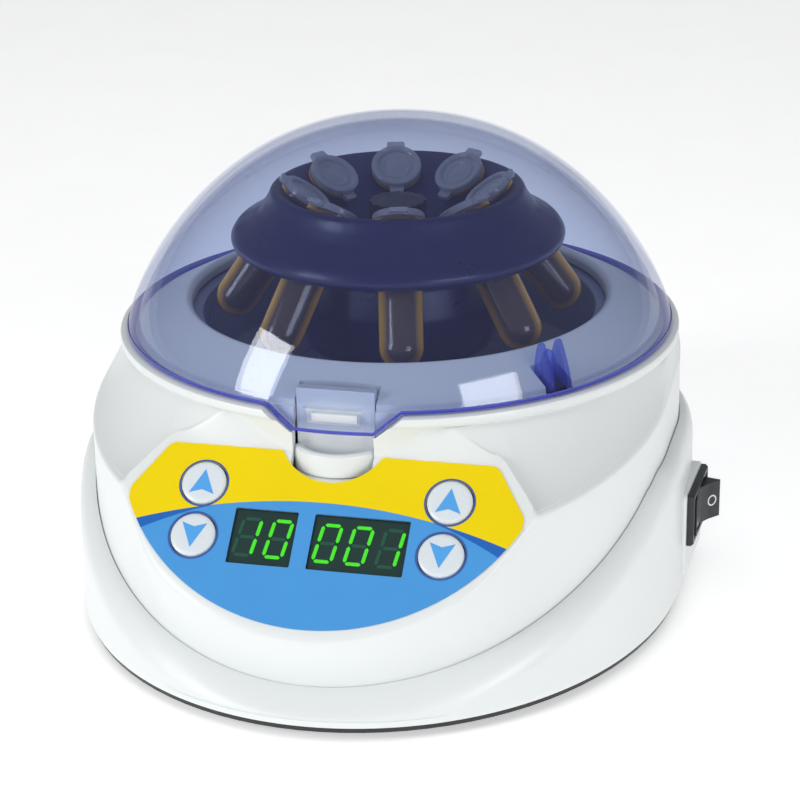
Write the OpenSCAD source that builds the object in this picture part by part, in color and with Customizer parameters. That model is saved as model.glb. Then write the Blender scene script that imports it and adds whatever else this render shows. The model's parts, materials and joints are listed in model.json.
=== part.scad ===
// Personal mini centrifuge for microtubes: an oval two-part housing, a
// sloping control panel, an eight-place angle rotor and a hinged clear dome.
// All lengths are in millimetres. +Z is up and -Y is the operator's side.

/* [Housing] */
// Half width of the skirt at its base
skirt_half_w = 76.3; // [74:0.1:79]
// Reach of the skirt in front of its oval's centre
skirt_reach = 87.6; // [84:0.1:90]
// Distance of the front oval's centre in front of the rotor axis
oval_shift = 19; // [16:0.5:21]
// Half width of the upper wall
wall_half_w = 71.8; // [70:0.1:73]
// Reach of the upper wall in front of its oval's centre
wall_reach = 80.5; // [78:0.1:82]
// Wall thickness of the mouldings
shell = 2.4; // [2:0.1:2.8]
// Height of the skirt's bottom edge above the table
skirt_z = 3.2; // [3.2:0.1:3.6]
// Height of the level part of the ledge between skirt and upper wall
ledge_z = 40.5; // [38:0.5:44]

/* [Lid] */
// Outer radius of the dome at its rim
lid_r = 69.6; // [69:0.1:70]
// Height of the dome's rim above the table
lid_z = 65.4; // [65.3:0.1:65.8]
// Rise of the dome above its rim
dome_rise = 51; // [49:0.5:54]
// Thickness of the dome
dome_t = 2.2; // [1.8:0.1:2.4]

/* [Rotor] */
// Number of tube places
places = 8; // [8:1:8]
// Angle of the tubes from vertical
tube_tilt = 35; // [34:0.5:36]
// Greatest radius of the rotor
rotor_r = 42.5; // [41:0.5:43]
// Angle of the first tube place, from the front towards the right
first_place = 14; // [0:1:44]

/* [Controls] */
// Slope of the control panel from level
panel_slope = 41.7; // [40:0.1:43]
// Radius of a key cap
key_r = 5.3; // [5:0.1:5.4]
// Distance of the key columns from the middle
key_u = 29.4; // [29:0.1:30]
// Height of a key cap above the panel
key_proud = 0.9; // [0.8:0.1:1.2]

/* [Hidden] */
places_list = [for (i = [1:places]) i];

// The origin is the middle of the footprint on the table; the rotor axis
// stands left of it and behind it, because the switch and the panel reach out.
rotor_x = -3.8;
rotor_y = 15.1;
eps = 0.01;
tall = 90;
wide = 220;
fine = 96;
clear_gap = 0.3;

white = [0.93, 0.94, 0.93];
dark = [0.10, 0.10, 0.11];
navy = [0.15, 0.17, 0.36];
lilac = [0.62, 0.64, 0.95, 0.35];
amber = [0.72, 0.52, 0.16, 0.6];
steel = [0.75, 0.76, 0.78];
board_green = [0.10, 0.38, 0.22];

// Rear radii of the two oval outlines
skirt_back = 76;
wall_back = 72;
// The ledge rises from its front end at this slope
ledge_front_y = -99.5;
ledge_front_z = 10.5;
ledge_slope = 24.8;
// The shoulder is the upper edge of the oval wall
shoulder_y = -75;
shoulder_z = 46;
shoulder_slope = 7.6;
// Round collar that carries the lid
collar_r = 71.5;
collar_z0 = 62.5;
collar_z1 = 65;
neck_r = 67.5;
neck_z = 59;
deck_r = 66;
deck_z = 66.8;
mouth_r = 52.8;
mouth_z = 72.8;
seat_r = 67;

// Panel frame: u across, v up the slope, w out of the panel
panel_y = -78.3;
panel_z = 45.7;
key_v_up = 3.4;
key_v_down = -9.9;
key_travel = 0.6;
key_hole_r = key_r + 0.3;
label_top = 13.4;
label_bottom = -30.6;
label_top_half = 39.2;
label_half = 47;
label_arc_r = 52.5;
label_t = 0.3;
notch_r = 13.4;
notch_v = 19.4;
display_v = -9;
display_h = 13.9;
speed_w = 15.1;
speed_u = -12.9;
time_w = 22.6;
time_u = 9.9;
board_w0 = -10.4;
board_t = 1.6;
display_top = -0.4;
board_holes = [[-39.5, -3.2], [39.5, -3.2], [-21, 7.5], [21, 7.5]];
board_shape = [[-38, 10.5], [38, 10.5], [42.5, 2], [42.5, -6], [33.5, -14], [26, -18],
    [-26, -18], [-33.5, -14], [-42.5, -6], [-42.5, 2]];

// Latch in the front of the collar
latch_w = 18.8;
latch_slot = 19.6;
latch_y = -63;
latch_z = 51;
latch_pin_r = 1.25;
boss_r = 12;
boss_y = -61;
lever_y0 = -65.2;
lever_t = 2.4;
lever_top = 69.5;
slot_back = -60;

// Lid hinge behind the collar
hinge_y = 73.5;
hinge_z = 68.3;
hinge_pin_r = 1.5;
knuckle_r = 2.8;
knuckle_x0 = 14;
knuckle_x1 = 22;
lug_x1 = 27;
tab_top = 16.3;
tab_bottom = 9.8;
tab_z = 60;
lug_turn = 48;
dome_steps = 20;

// Rotor: the round end of each tube has its centre here
tube_end_r = 41.3;
tube_end_z = 71.5;
tube_r = 5.4;
tube_len = 30.4;
cap_r = 6.5;
head_z0 = 58;
shaft_r = 2.5;

// Motor
motor_r = 21;
motor_z0 = 9;
motor_z1 = 45;
plate_r = 34;
damper_r = 30;
damper_turns = [30, 150, 270];

// Oval on which the feet stand
foot_y = -15.3;
foot_reach = 82.3;
// Bosses that the base screws pull down
bosses = [[56, -60], [-56, -60], [50, 44], [-50, 44]];
boss_front_z = 39;
boss_rear_z = 54;
// Switch: angle from the right-hand side towards the back, and middle height
switch_turn = -3;
switch_z = 16.4;
// The switch frame sits above the plate's middle
frame_rise = 3.8;
rocker_w = 2;
rocker_rest = 14;
inlet_z = 20;
inlet_y = 73;
inlet_holes = [[-7, -2], [0, 2], [7, -2]];

module at_rotor() translate([rotor_x, rotor_y, 0]) children();
module on_panel() translate([0, panel_y, panel_z]) rotate([panel_slope, 0, 0]) children();
module at_switch() rotate([0, 0, switch_turn]) translate([skirt_back - 1, 0, switch_z])
    rotate([90, 0, 90]) children();
module at_inlet() translate([0, inlet_y, inlet_z]) rotate([90, 0, 180]) children();
module both_sides() {
    children();
    mirror([1, 0, 0]) children();
}

// ---- shared outlines and half spaces ----
module oval(half_w, reach, back) {
    hull() {
        translate([0, -oval_shift]) scale([half_w, reach]) circle(r = 1, $fn = fine);
        circle(r = back, $fn = fine);
    }
}
module skirt_outline(inset) {
    oval(skirt_half_w - inset, skirt_reach - inset, skirt_back - inset);
}
module wall_outline(inset) {
    oval(wall_half_w - inset, wall_reach - inset, wall_back - inset);
}
// Everything under the ledge, lowered by drop
module under_ledge(drop) {
    intersection() {
        translate([0, ledge_front_y, ledge_front_z - drop]) rotate([ledge_slope, 0, 0])
            translate([-wide / 2, -wide / 2, -wide]) cube([wide, 2 * wide, wide]);
        translate([-wide / 2, -wide / 2, -wide]) cube([wide, wide, wide + ledge_z - drop]);
    }
}
// Everything under the shoulder plane, lowered by drop
module under_shoulder(drop) {
    translate([0, shoulder_y, shoulder_z - drop]) rotate([shoulder_slope, 0, 0])
        translate([-wide / 2, -wide / 2, -wide]) cube([wide, 2 * wide, wide]);
}
// The space in front of the panel and round the neck below the collar
module panel_cut(inset) {
    difference() {
        intersection() {
            on_panel() translate([-wide / 2, -wide / 2, -inset]) cube([wide, wide, wide]);
            translate([-wide / 2, -wide / 2, 0])
                cube([wide, wide / 2 - 40, collar_z0 - inset]);
        }
        cylinder(r = neck_r - inset, h = tall, $fn = fine);
    }
}
module housing_form(inset) {
    difference() {
        union() {
            hull() {
                translate([0, 0, neck_z]) 
                    cylinder(r = collar_r - inset, h = collar_z1 - neck_z - inset, $fn = fine);
                intersection() {
                    linear_extrude(height = tall) wall_outline(inset);
                    difference() {
                        under_shoulder(inset);
                        under_shoulder(inset + 1);
                    }
                    translate([-wide / 2, -wide / 2, 0]) cube([wide, wide, collar_z1 - inset]);
                }
            }
            difference() {
                intersection() {
                    linear_extrude(height = collar_z1 - inset) wall_outline(inset);
                    under_shoulder(inset + 0.5);
                }
                under_ledge(inset == 0 ? 0 : 2 * shell);
            }
        }
        panel_cut(inset);
    }
}
// Trapezoid of the lid's front tab, grown by gap
module tab_outline(gap) {
    polygon([[-tab_top - gap, lid_z + 2], [-tab_top - gap, lid_z],
             [-tab_bottom - gap, tab_z - gap], [tab_bottom + gap, tab_z - gap],
             [tab_top + gap, lid_z], [tab_top + gap, lid_z + 2]]);
}
module label_outline(inset) {
    difference() {
        intersection() {
            translate([0, label_bottom + label_arc_r])
                circle(r = label_arc_r - inset, $fn = fine);
            polygon([[-label_top_half + inset / 2, label_top - inset],
                     [label_top_half - inset / 2, label_top - inset],
                     [label_half - inset, 0.5], [label_half - inset, label_bottom],
                     [-label_half + inset, label_bottom], [-label_half + inset, 0.5]]);
        }
        translate([0, notch_v]) circle(r = notch_r + inset, $fn = fine);
    }
}
module at_keys() {
    for (u = [-key_u, key_u], v = [key_v_up, key_v_down]) translate([u, v, 0]) children();
}
module display_hole(u, w, gap) {
    translate([u - w / 2 - gap, display_v - display_h / 2 - gap])
        square([w + 2 * gap, display_h + 2 * gap]);
}

// ---- base ----
module base_plate() {
    color(dark) at_rotor() difference() {
        union() {
            translate([0, 0, skirt_z - 1]) linear_extrude(height = 1) skirt_outline(0.8);
            translate([0, 0, skirt_z - eps]) linear_extrude(height = 1.8)
                skirt_outline(shell + 0.4);
        }
        for (p = bosses) translate([p[0], p[1], 0]) {
            cylinder(r = 1.8, h = 10, $fn = 32);
            cylinder(r = 3.4, h = skirt_z + 0.2, $fn = 32);
        }
        for (i = [-3:3]) translate([i * 7 - 1.5, 36, 0]) cube([3, 18, 10]);
        translate([-19.4, inlet_y - 2.4, skirt_z]) cube([38.8, 10, 10]);
    }
}
module foot_ring() {
    color(dark) at_rotor() {
        translate([0, 0, 1.4]) linear_extrude(height = skirt_z - 1 - 1.4) difference() {
            skirt_outline(5);
            skirt_outline(12.5);
            for (p = bosses) translate([p[0], p[1]]) circle(r = 4, $fn = 32);
        }
        for (i = [0:23])
            translate([(skirt_half_w - 9) * sin(15 * i), foot_y - foot_reach * cos(15 * i), 0])
                cylinder(r = 3.4, h = 1.6, $fn = 32);
    }
}
module base_screws() {
    color(steel) at_rotor() for (p = bosses) translate([p[0], p[1], 0]) {
        translate([0, 0, 2.4]) cylinder(r = 3, h = 1, $fn = 32);
        translate([0, 0, 2.4]) cylinder(r = 1.5, h = 16, $fn = 32);
    }
}

// ---- housings ----
module lower_housing() {
    color(white) at_rotor() difference() {
        intersection() {
            translate([0, 0, skirt_z]) linear_extrude(height = tall) skirt_outline(0);
            under_ledge(0);
            translate([-wide / 2, -wide / 2, 0]) cube([wide, wide / 2 + inlet_y + 1, tall]);
        }
        difference() {
            intersection() {
                linear_extrude(height = tall) skirt_outline(shell);
                under_ledge(shell);
            }
            translate([-19, inlet_y - 2, 0]) cube([38, 10, 33.5]);
        }
        linear_extrude(height = tall) wall_outline(4.5);
        for (p = bosses) translate([p[0], p[1], 0]) cylinder(r = 4.8, h = tall, $fn = 48);
        at_switch() translate([-9.9, frame_rise - 6.6, -12]) cube([19.8, 13.2, 30]);
        at_inlet() translate([-13.8, -10.3, -12]) cube([27.6, 20.6, 30]);
    }
}
module upper_housing() {
    color(white) at_rotor() {
        difference() {
            union() {
                difference() {
                    housing_form(0);
                    housing_form(shell);
                    translate([0, 0, neck_z - 9]) cylinder(r = seat_r - 2.2, h = 30, $fn = fine);
                }
                deck();
                latch_boss();
                board_posts();
                latch_ribs();
                rotate([0, 0, lug_turn]) translate([-8.2, -64.6, 52]) cube([1.6, 8, 15]);
            }
            latch_cut();
            on_panel() translate([0, 0, -9]) linear_extrude(height = 12) {
                at_keys() circle(r = key_hole_r, $fn = 48);
                display_hole(speed_u, speed_w, 0.4);
                display_hole(time_u, time_w, 0.4);
            }
            rotate([0, 0, lug_turn]) translate([-3.8, -63.1, 60]) cube([7.6, 4, 14]);
        }
        for (p = bosses) translate([p[0], p[1], skirt_z + 1.8]) difference() {
            cylinder(r = 4.5, h = (p[1] > 0 ? boss_rear_z : boss_front_z) - skirt_z, $fn = 48);
            translate([0, 0, -1]) cylinder(r = 1.52, h = 16, $fn = 32);
        }
        hinge_lugs();
    }
}
// Posts under the panel that carry the control board
module board_posts() {
    on_panel() for (p = board_holes) translate([p[0], p[1], board_w0 + board_t]) difference() {
        cylinder(r = 2.6, h = -board_w0 - board_t - 1, $fn = 32);
        translate([0, 0, -1]) cylinder(r = 1.22, h = 5.5, $fn = 32);
    }
}
module deck() {
    rotate_extrude($fn = fine) polygon([
        [neck_r - 3, neck_z - 4], [neck_r - 0.5, neck_z - 4], [collar_r - 1, collar_z0],
        [collar_r - 1, collar_z1], [deck_r, collar_z1], [deck_r, deck_z],
        [mouth_r + 1.2, mouth_z], [mouth_r, mouth_z - 1], [mouth_r, mouth_z - 3.2],
        [deck_r - 2.2, deck_z - 2.4]]);
}
// Upright half round that fairs the latch into the panel
module latch_boss() {
    difference() {
        translate([0, boss_y, 44]) cylinder(r = boss_r, h = 8.5, $fn = fine);
        on_panel() translate([-40, -60, -60 - shell]) cube([80, 120, 60]);
        translate([-20, boss_y - 3, 40]) cube([40, 20, 20]);
    }
}
// Ribs that hold the latch pin, and the seat of its spring
module latch_ribs() {
    both_sides() translate([latch_slot / 2, -66, 48]) cube([2.4, 7.5, 16]);
    translate([-4, -58.4, 53]) cube([8, 1.4, 16]);
}
module latch_cut() {
    translate([-latch_slot / 2, -80, 49.6]) cube([latch_slot, 80 + slot_back, 30]);
    translate([-20, latch_y, latch_z]) rotate([0, 90, 0])
        cylinder(r = latch_pin_r + 0.02, h = 40, $fn = 32);
    intersection() {
        rotate([90, 0, 0]) translate([0, 0, 60]) linear_extrude(height = 20)
            tab_outline(clear_gap + 0.2);
        difference() {
            translate([0, 0, 50]) cylinder(r = 90, h = 30, $fn = fine);
            cylinder(r = seat_r - 0.3, h = tall, $fn = fine);
        }
    }
}
module hinge_lugs() {
    both_sides() difference() {
        union() {
            translate([knuckle_x1 + 0.4, hinge_y, hinge_z]) rotate([0, 90, 0])
                cylinder(r = knuckle_r, h = lug_x1 - knuckle_x1 - 0.4, $fn = 48);
            translate([knuckle_x1 + 0.4, hinge_y - 9, 57])
                cube([lug_x1 - knuckle_x1 - 0.4, 9 + knuckle_r, hinge_z - 57]);
        }
        translate([0, hinge_y, hinge_z]) rotate([0, 90, 0])
            cylinder(r = hinge_pin_r + 0.02, h = 40, $fn = 32);
        translate([0, 0, 40]) cylinder(r = collar_r - 1.5, h = 25, $fn = fine);
        translate([0, 0, collar_z1]) cylinder(r = lid_r + 0.5, h = 30, $fn = fine);
    }
}
module chamber_bowl() {
    color([0.42, 0.46, 0.56]) at_rotor() rotate_extrude($fn = fine) polygon([
        [5, 48], [45, 48], [48.5, 52], [51.2, 67.2], [54.4, 67.4], [54.4, 68.7],
        [50, 68.7], [46.9, 53], [44.3, 50], [9, 50], [9, 52], [5, 52]]);
}
module shaft_boot() {
    color(dark) at_rotor() rotate_extrude($fn = 64) polygon([
        [3.2, 47], [4.9, 47], [4.9, 53.5], [3.2, 54.5]]);
}

// ---- controls ----
module control_label() {
    color([0.96, 0.86, 0.05]) at_rotor() on_panel() linear_extrude(height = label_t)
        difference() {
            label_outline(0);
            at_keys() circle(r = key_hole_r, $fn = 48);
            display_hole(speed_u, speed_w, 0.2);
            display_hole(time_u, time_w, 0.2);
        }
}
module display(u, w) {
    h = display_top - board_w0 - board_t;
    translate([u - w / 2, display_v - display_h / 2, board_w0 + board_t])
        cube([w, display_h, h]);
}
module speed_display() {
    color([0.1, 0.2, 0.18]) at_rotor() on_panel() display(speed_u, speed_w);
}
module time_display() {
    color([0.1, 0.2, 0.18]) at_rotor() on_panel() display(time_u, time_w);
}
module control_board() {
    color(board_green) at_rotor() on_panel() difference() {
        translate([0, 0, board_w0]) linear_extrude(height = board_t) polygon(board_shape);
        for (p = board_holes) translate([p[0], p[1], board_w0 - 1]) cylinder(r = 1.4, h = 5, $fn = 32);
    }
}
module board_screws() {
    color(steel) at_rotor() on_panel() for (p = board_holes) translate([p[0], p[1], 0]) {
        translate([0, 0, board_w0 - 1.4]) cylinder(r = 2.4, h = 1.4, $fn = 32);
        translate([0, 0, board_w0 - 1.4]) cylinder(r = 1.2, h = 6.5, $fn = 32);
    }
}
module key_switches() {
    color(dark) at_rotor() on_panel() translate([0, 0, board_w0 + board_t]) at_keys() {
        translate([-3, -3, 0]) cube([6, 6, 3.4]);
        cylinder(r = 1.7, h = 4, $fn = 32);
    }
}
module key(u, v) {
    color([0.9, 0.91, 0.93]) at_rotor() on_panel() translate([u, v, 0]) {
        translate([0, 0, -2.9]) cylinder(r = key_r, h = 2.9 + key_proud, $fn = 64);
        translate([0, 0, -3.6]) cylinder(r = key_r + 1, h = 0.8, $fn = 64);
        translate([0, 0, board_w0 + board_t + 4 + key_travel + 0.2]) cylinder(r = 1.6, h = 1.5, $fn = 32);
    }
}
module key_speed_up() { key(-key_u, key_v_up); }
module key_speed_down() { key(-key_u, key_v_down); }
module key_time_up() { key(key_u, key_v_up); }
module key_time_down() { key(key_u, key_v_down); }

// ---- latch ----
module latch_lever() {
    color(white) at_rotor() difference() {
        union() {
            translate([-latch_w / 2, lever_y0, latch_z + 1])
                cube([latch_w, lever_t, lever_top - latch_z - 1]);
            translate([-4.3, lever_y0 - 1.7, 63.3]) cube([8.6, 2, 2.6]);
            intersection() {
                translate([0, boss_y, latch_z - 0.8]) cylinder(r = boss_r - 0.4, h = 9, $fn = fine);
                translate([-latch_w / 2, -80, 40]) cube([latch_w, 80 + lever_y0 + lever_t, 40]);
            }
            translate([-latch_w / 2, latch_y, latch_z]) rotate([0, 90, 0])
                cylinder(r = 2.4, h = latch_w, $fn = 32);
        }
        translate([-20, latch_y, latch_z]) rotate([0, 90, 0])
            cylinder(r = latch_pin_r + 0.05, h = 40, $fn = 32);
        translate([-7.3, -69.3, latch_z + 1.6]) cube([14.6, 3, 12]);
    }
}
module latch_pin() {
    color(steel) at_rotor() translate([-12.5, latch_y, latch_z]) rotate([0, 90, 0])
        cylinder(r = latch_pin_r, h = 25, $fn = 32);
}
module latch_spring() {
    color(steel) at_rotor() translate([0, -61.9, 57]) rotate([-90, 0, 0])
        coil(2.2, 0.3, 3.1, 3.5);
}

// Round wire wound as a helix: coil radius, wire radius, rise and turns
module coil(r, wire, rise, turns) {
    sides = 6;
    rings = round(turns * 16);
    function ring_point(i, j) = let (a = 360 * turns * i / rings, b = 360 * j / sides)
        [(r + wire * cos(b)) * cos(a), (r + wire * cos(b)) * sin(a),
         wire * sin(b) + wire + (rise - 2 * wire) * i / rings];
    polyhedron(
        points = [for (i = [0:rings], j = [0:sides - 1]) ring_point(i, j)],
        faces = concat(
            [[for (j = [0:sides - 1]) j]],
            [[for (j = [sides - 1:-1:0]) rings * sides + j]],
            [for (i = [0:rings - 1], j = [0:sides - 1])
                [i * sides + j, (i + 1) * sides + j,
                 (i + 1) * sides + (j + 1) % sides, i * sides + (j + 1) % sides]]));
}

// ---- lid ----
function dome_pt(t, r, h) = [r * pow(cos(t), 0.87), lid_z + h * pow(sin(t), 1.5)];
module dome_profile() {
    polygon(concat(
        [for (i = [0:dome_steps]) dome_pt(4 + 86 * i / dome_steps, lid_r, dome_rise)],
        [for (i = [dome_steps:-1:0])
            dome_pt(4 + 86 * i / dome_steps, lid_r - dome_t, dome_rise - dome_t)],
        [[lid_r - dome_t, lid_z], [lid_r, lid_z]]));
}
module lid_dome() {
    color(lilac) at_rotor() {
        difference() {
            union() {
                rotate_extrude($fn = 128) dome_profile();
                intersection() {
                    rotate([90, 0, 0]) translate([0, 0, 50]) linear_extrude(height = 30)
                        tab_outline(0);
                    difference() {
                        translate([0, 0, 50]) cylinder(r = lid_r, h = 17, $fn = fine);
                        cylinder(r = lid_r - dome_t + 0.02, h = tall, $fn = fine);
                    }
                }
                both_sides() difference() {
                    union() {
                        translate([knuckle_x0, hinge_y, hinge_z]) rotate([0, 90, 0])
                            cylinder(r = knuckle_r, h = knuckle_x1 - knuckle_x0, $fn = 48);
                        translate([knuckle_x0, hinge_y - 9, hinge_z - knuckle_r])
                            cube([knuckle_x1 - knuckle_x0, 9, 2 * knuckle_r - 0.6]);
                    }
                    translate([0, 0, lid_z - 1]) cylinder(r = lid_r - dome_t + 0.3, h = 20, $fn = fine);
                }
            }
            translate([-50, hinge_y, hinge_z]) rotate([0, 90, 0])
                cylinder(r = hinge_pin_r + 0.05, h = 100, $fn = 32);
            translate([-4.8, -80, 62.8]) cube([9.6, 20, 3.7]);
        }
        rotate([0, 0, lug_turn]) interlock_lug();
    }
}
// Arched finger inside the rim that works the lid switch
module interlock_lug() {
    difference() {
        translate([-3, -62.3, 61]) cube([6, 2.6, 16]);
        translate([-1.5, -63, 71.5]) cube([3, 4, 3.5]);
    }
    translate([-3, -65.5, 70.4]) cube([1.6, 4, 4.6]);
}
module hinge_pin() {
    color(steel) at_rotor() both_sides()
        translate([knuckle_x0 - 1.5, hinge_y, hinge_z]) rotate([0, 90, 0])
            cylinder(r = hinge_pin_r, h = lug_x1 - knuckle_x0 + 1.5, $fn = 32);
}
module interlock_switch() {
    color(dark) at_rotor() rotate([0, 0, lug_turn]) translate([-6.6, -63.6, 53.5]) {
        cube([13, 6, 6]);
        translate([4.9, 1.6, 6]) cube([3.4, 1.8, 1.1]);
    }
}

// ---- rotor ----
// Frame of one tube: origin at the centre of its round end, +Z towards its cap
module at_place(i) {
    rotate([0, 0, first_place + 360 / places * (i - 1)])
        translate([0, -tube_end_r, tube_end_z]) rotate([-tube_tilt, 0, 0]) children();
}
module rotor_head() {
    color(navy) at_rotor() difference() {
        rotate_extrude($fn = 128) polygon([
            [6.2, 66], [6.2, 86.2], [12, 86.4], [29, 99.3], [30.2, 100.3], [31.6, 99.9],
            [32.6, 98], [34.5, 94.5], [38, 91.8], [41.4, 89.8], [rotor_r, 87.2],
            [rotor_r - 0.6, 84], [rotor_r - 2.4, 82.4], [37, 82.2], [31, 86],
            [25.5, 80.5], [27.2, 72], [24, head_z0 + 1.5], [22, head_z0],
            [18, head_z0], [18, 66]]);
        for (i = places_list) at_place(i)
            translate([0, 0, 10]) cylinder(r = tube_r + 0.15, h = 60, $fn = 48);
    }
}
// Cone on the motor shaft that the rotor head is pulled down on
module drive_cone() {
    color(steel) at_rotor() difference() {
        union() {
            translate([0, 0, 62]) cylinder(r = 9, h = 3.8, $fn = 64);
            translate([0, 0, 62]) cylinder(r = 6, h = 24, $fn = 64);
        }
        translate([0, 0, 50]) cylinder(r = shaft_r, h = 60, $fn = 48);
    }
}
module rotor_nut() {
    color(dark) at_rotor() difference() {
        union() {
            translate([0, 0, 86.5]) cylinder(r = 8.5, h = 2, $fn = 64);
            translate([0, 0, 88]) cylinder(r = 7.2, h = 8, $fn = 64);
        }
        translate([0, 0, 80]) cylinder(r = shaft_r, h = 15, $fn = 48);
        for (a = [0:30:330]) rotate([0, 0, a]) translate([7.9, 0, 89.5])
            cylinder(r = 1.2, h = 12, $fn = 24);
    }
}
module tube(i) {
    color(amber) at_rotor() at_place(i) rotate_extrude($fn = 64) polygon(concat(
        [[tube_r - 1, tube_len + 1]],
        [for (a = [0:15:75]) [(tube_r - 1) * cos(a), -(tube_r - 1) * sin(a)]], [[0, -tube_r + 1]],
        [[0, -tube_r]], [for (a = [75:-15:0]) [tube_r * cos(a), -tube_r * sin(a)]],
        [[tube_r, tube_len], [cap_r, tube_len + 0.3], [cap_r, tube_len + 1]]));
}
module tube_cap(i) {
    color([0.86, 0.87, 0.9, 0.8]) at_rotor() at_place(i) translate([0, 0, tube_len + 1]) {
        difference() {
            cylinder(r = cap_r, h = 2, $fn = 64);
            translate([0, 0, 0.9]) cylinder(r = cap_r - 1.6, h = 3, $fn = 64);
        }
        translate([-2, cap_r - 0.6, 0]) cube([4, 2.4, 0.8]);
        translate([-2, cap_r + 0.1, -0.6]) cube([4, 1.7, 1]);
        translate([-2.6, -cap_r - 1.6, 0.4]) cube([5.2, 2.2, 1.2]);
    }
}

// ---- motor ----
module motor_can() {
    color([0.3, 0.31, 0.33]) at_rotor() difference() {
        translate([0, 0, motor_z0]) cylinder(r = motor_r, h = motor_z1 - motor_z0, $fn = fine);
        translate([0, 0, motor_z0 + 5]) cylinder(r = motor_r - 1.6, h = motor_z1 - motor_z0 - 10, $fn = fine);
        cylinder(r = 3.2, h = tall, $fn = 48);
        translate([0, 0, motor_z0 + 1]) cylinder(r = 6.5, h = motor_z1 - motor_z0 - 2, $fn = 64);
    }
}
module motor_bearings() {
    color(steel) at_rotor() for (z = [motor_z0 + 1, motor_z1 - 5]) translate([0, 0, z])
        difference() {
            cylinder(r = 6.5, h = 4, $fn = 64);
            translate([0, 0, -1]) cylinder(r = shaft_r + 0.03, h = 6, $fn = 48);
        }
}
module motor_stator() {
    color([0.55, 0.33, 0.2]) at_rotor() translate([0, 0, motor_z0 + 6]) difference() {
        cylinder(r = motor_r - 1.6, h = 24, $fn = fine);
        translate([0, 0, -1]) cylinder(r = 14, h = 26, $fn = fine);
    }
}
module motor_core() {
    color([0.45, 0.45, 0.47]) at_rotor() translate([0, 0, motor_z0 + 8]) difference() {
        cylinder(r = 13.4, h = 20, $fn = fine);
        translate([0, 0, -1]) cylinder(r = shaft_r, h = 22, $fn = 48);
        for (a = [0:45:315]) rotate([0, 0, a]) translate([10, -1, -1]) cube([5, 2, 22]);
    }
}
module motor_shaft() {
    color(steel) at_rotor() translate([0, 0, motor_z0 + 0.5]) cylinder(r = shaft_r, h = 85, $fn = 48);
}
module motor_plate() {
    color(steel) at_rotor() difference() {
        translate([0, 0, motor_z0 - 1.6]) cylinder(r = plate_r, h = 1.6, $fn = fine);
        translate([0, 0, 1]) cylinder(r = 5, h = 20, $fn = 48);
        for (a = damper_turns) rotate([0, 0, a]) translate([damper_r, 0, 0])
            cylinder(r = 1.6, h = 20, $fn = 32);
    }
}
module motor_dampers() {
    color(dark) at_rotor() for (a = damper_turns) rotate([0, 0, a]) translate([damper_r, 0, 5])
        difference() {
            cylinder(r = 3.4, h = motor_z0 - 6.6, $fn = 48);
            translate([0, 0, -1]) cylinder(r = 1.5, h = 20, $fn = 32);
        }
}
module motor_screws() {
    color(steel) at_rotor() for (a = damper_turns) rotate([0, 0, a])
        translate([damper_r, 0, 0]) {
            translate([0, 0, motor_z0]) cylinder(r = 2.8, h = 1.8, $fn = 32);
            translate([0, 0, 5.2]) cylinder(r = 1.5, h = 4, $fn = 32);
        }
}

// ---- power parts ----
module power_board() {
    color(board_green) at_rotor() translate([-60, -24, 6.6]) cube([22, 56, 1.6]);
    color(steel) at_rotor() for (y = [-20, 28]) translate([-49, y, 5]) cylinder(r = 2, h = 1.6, $fn = 32);
}
module mains_transformer() {
    color([0.75, 0.7, 0.3]) at_rotor() {
        translate([-58, 6, 8.2]) cube([18, 20, 3]);
        translate([-57, 8, 11.2]) cube([16, 16, 13]);
    }
}
module power_capacitors() {
    color(dark) at_rotor() for (y = [-17, -6]) translate([-53, y, 8.2])
        cylinder(r = 4.2, h = 14, $fn = 48);
}
module mains_inlet() {
    color(dark) at_rotor() at_inlet() difference() {
        union() {
            translate([-16, -12, 1]) cube([32, 24, 2]);
            translate([-13.4, -9.9, -17]) cube([26.8, 19.8, 19]);
        }
        translate([-12, -8.4, -13]) cube([24, 16.8, 20]);
        for (p = inlet_holes) translate([p[0], p[1], -18]) cylinder(r = 1.1, h = 6, $fn = 24);
    }
}
module inlet_pins() {
    color(steel) at_rotor() at_inlet() for (p = inlet_holes) translate([p[0], p[1], -22])
        cylinder(r = 1.1, h = 18, $fn = 24);
}
module inlet_screws() {
    color(steel) at_rotor() at_inlet() both_sides() translate([14.6, 0, 3])
        cylinder(r = 1.1, h = 0.8, $fn = 24);
}
module switch_plate() {
    color(white) at_rotor() difference() {
        at_switch() translate([-12.5, -11.2, -4]) cube([25, 22.4, 6.6]);
        translate([0, 0, skirt_z - 1]) linear_extrude(height = tall) skirt_outline(-0.02);
        at_switch() translate([-9.8, frame_rise - 6.5, -6]) cube([19.6, 13, 20]);
    }
}
module switch_frame() {
    color(dark) at_rotor() at_switch() translate([0, frame_rise, 0]) difference() {
        union() {
            translate([-10.8, -7.1, 2.6]) cube([21.6, 14.2, 1.8]);
            translate([-9.7, -6.4, -14]) cube([19.4, 12.8, 17]);
        }
        translate([-9, -5.4, -4]) cube([18, 10.8, 20]);
        translate([0, 20, rocker_w]) rotate([90, 0, 0]) cylinder(r = 1.25, h = 40, $fn = 32);
    }
}
module power_rocker() {
    color(dark) at_rotor() at_switch() translate([0, frame_rise, rocker_w]) rotate([0, -rocker_rest, 0])
        rotate([90, 0, 0]) {
            translate([0, 0, -5]) linear_extrude(height = 10) polygon([
                [-7.4, 4.8], [0, 2.2], [7.4, 4.8], [7, -1], [2, -4], [-2, -4], [-7, -1]]);
            translate([0, 0, -6.2]) cylinder(r = 1.2, h = 12.4, $fn = 32);
        }
}

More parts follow.
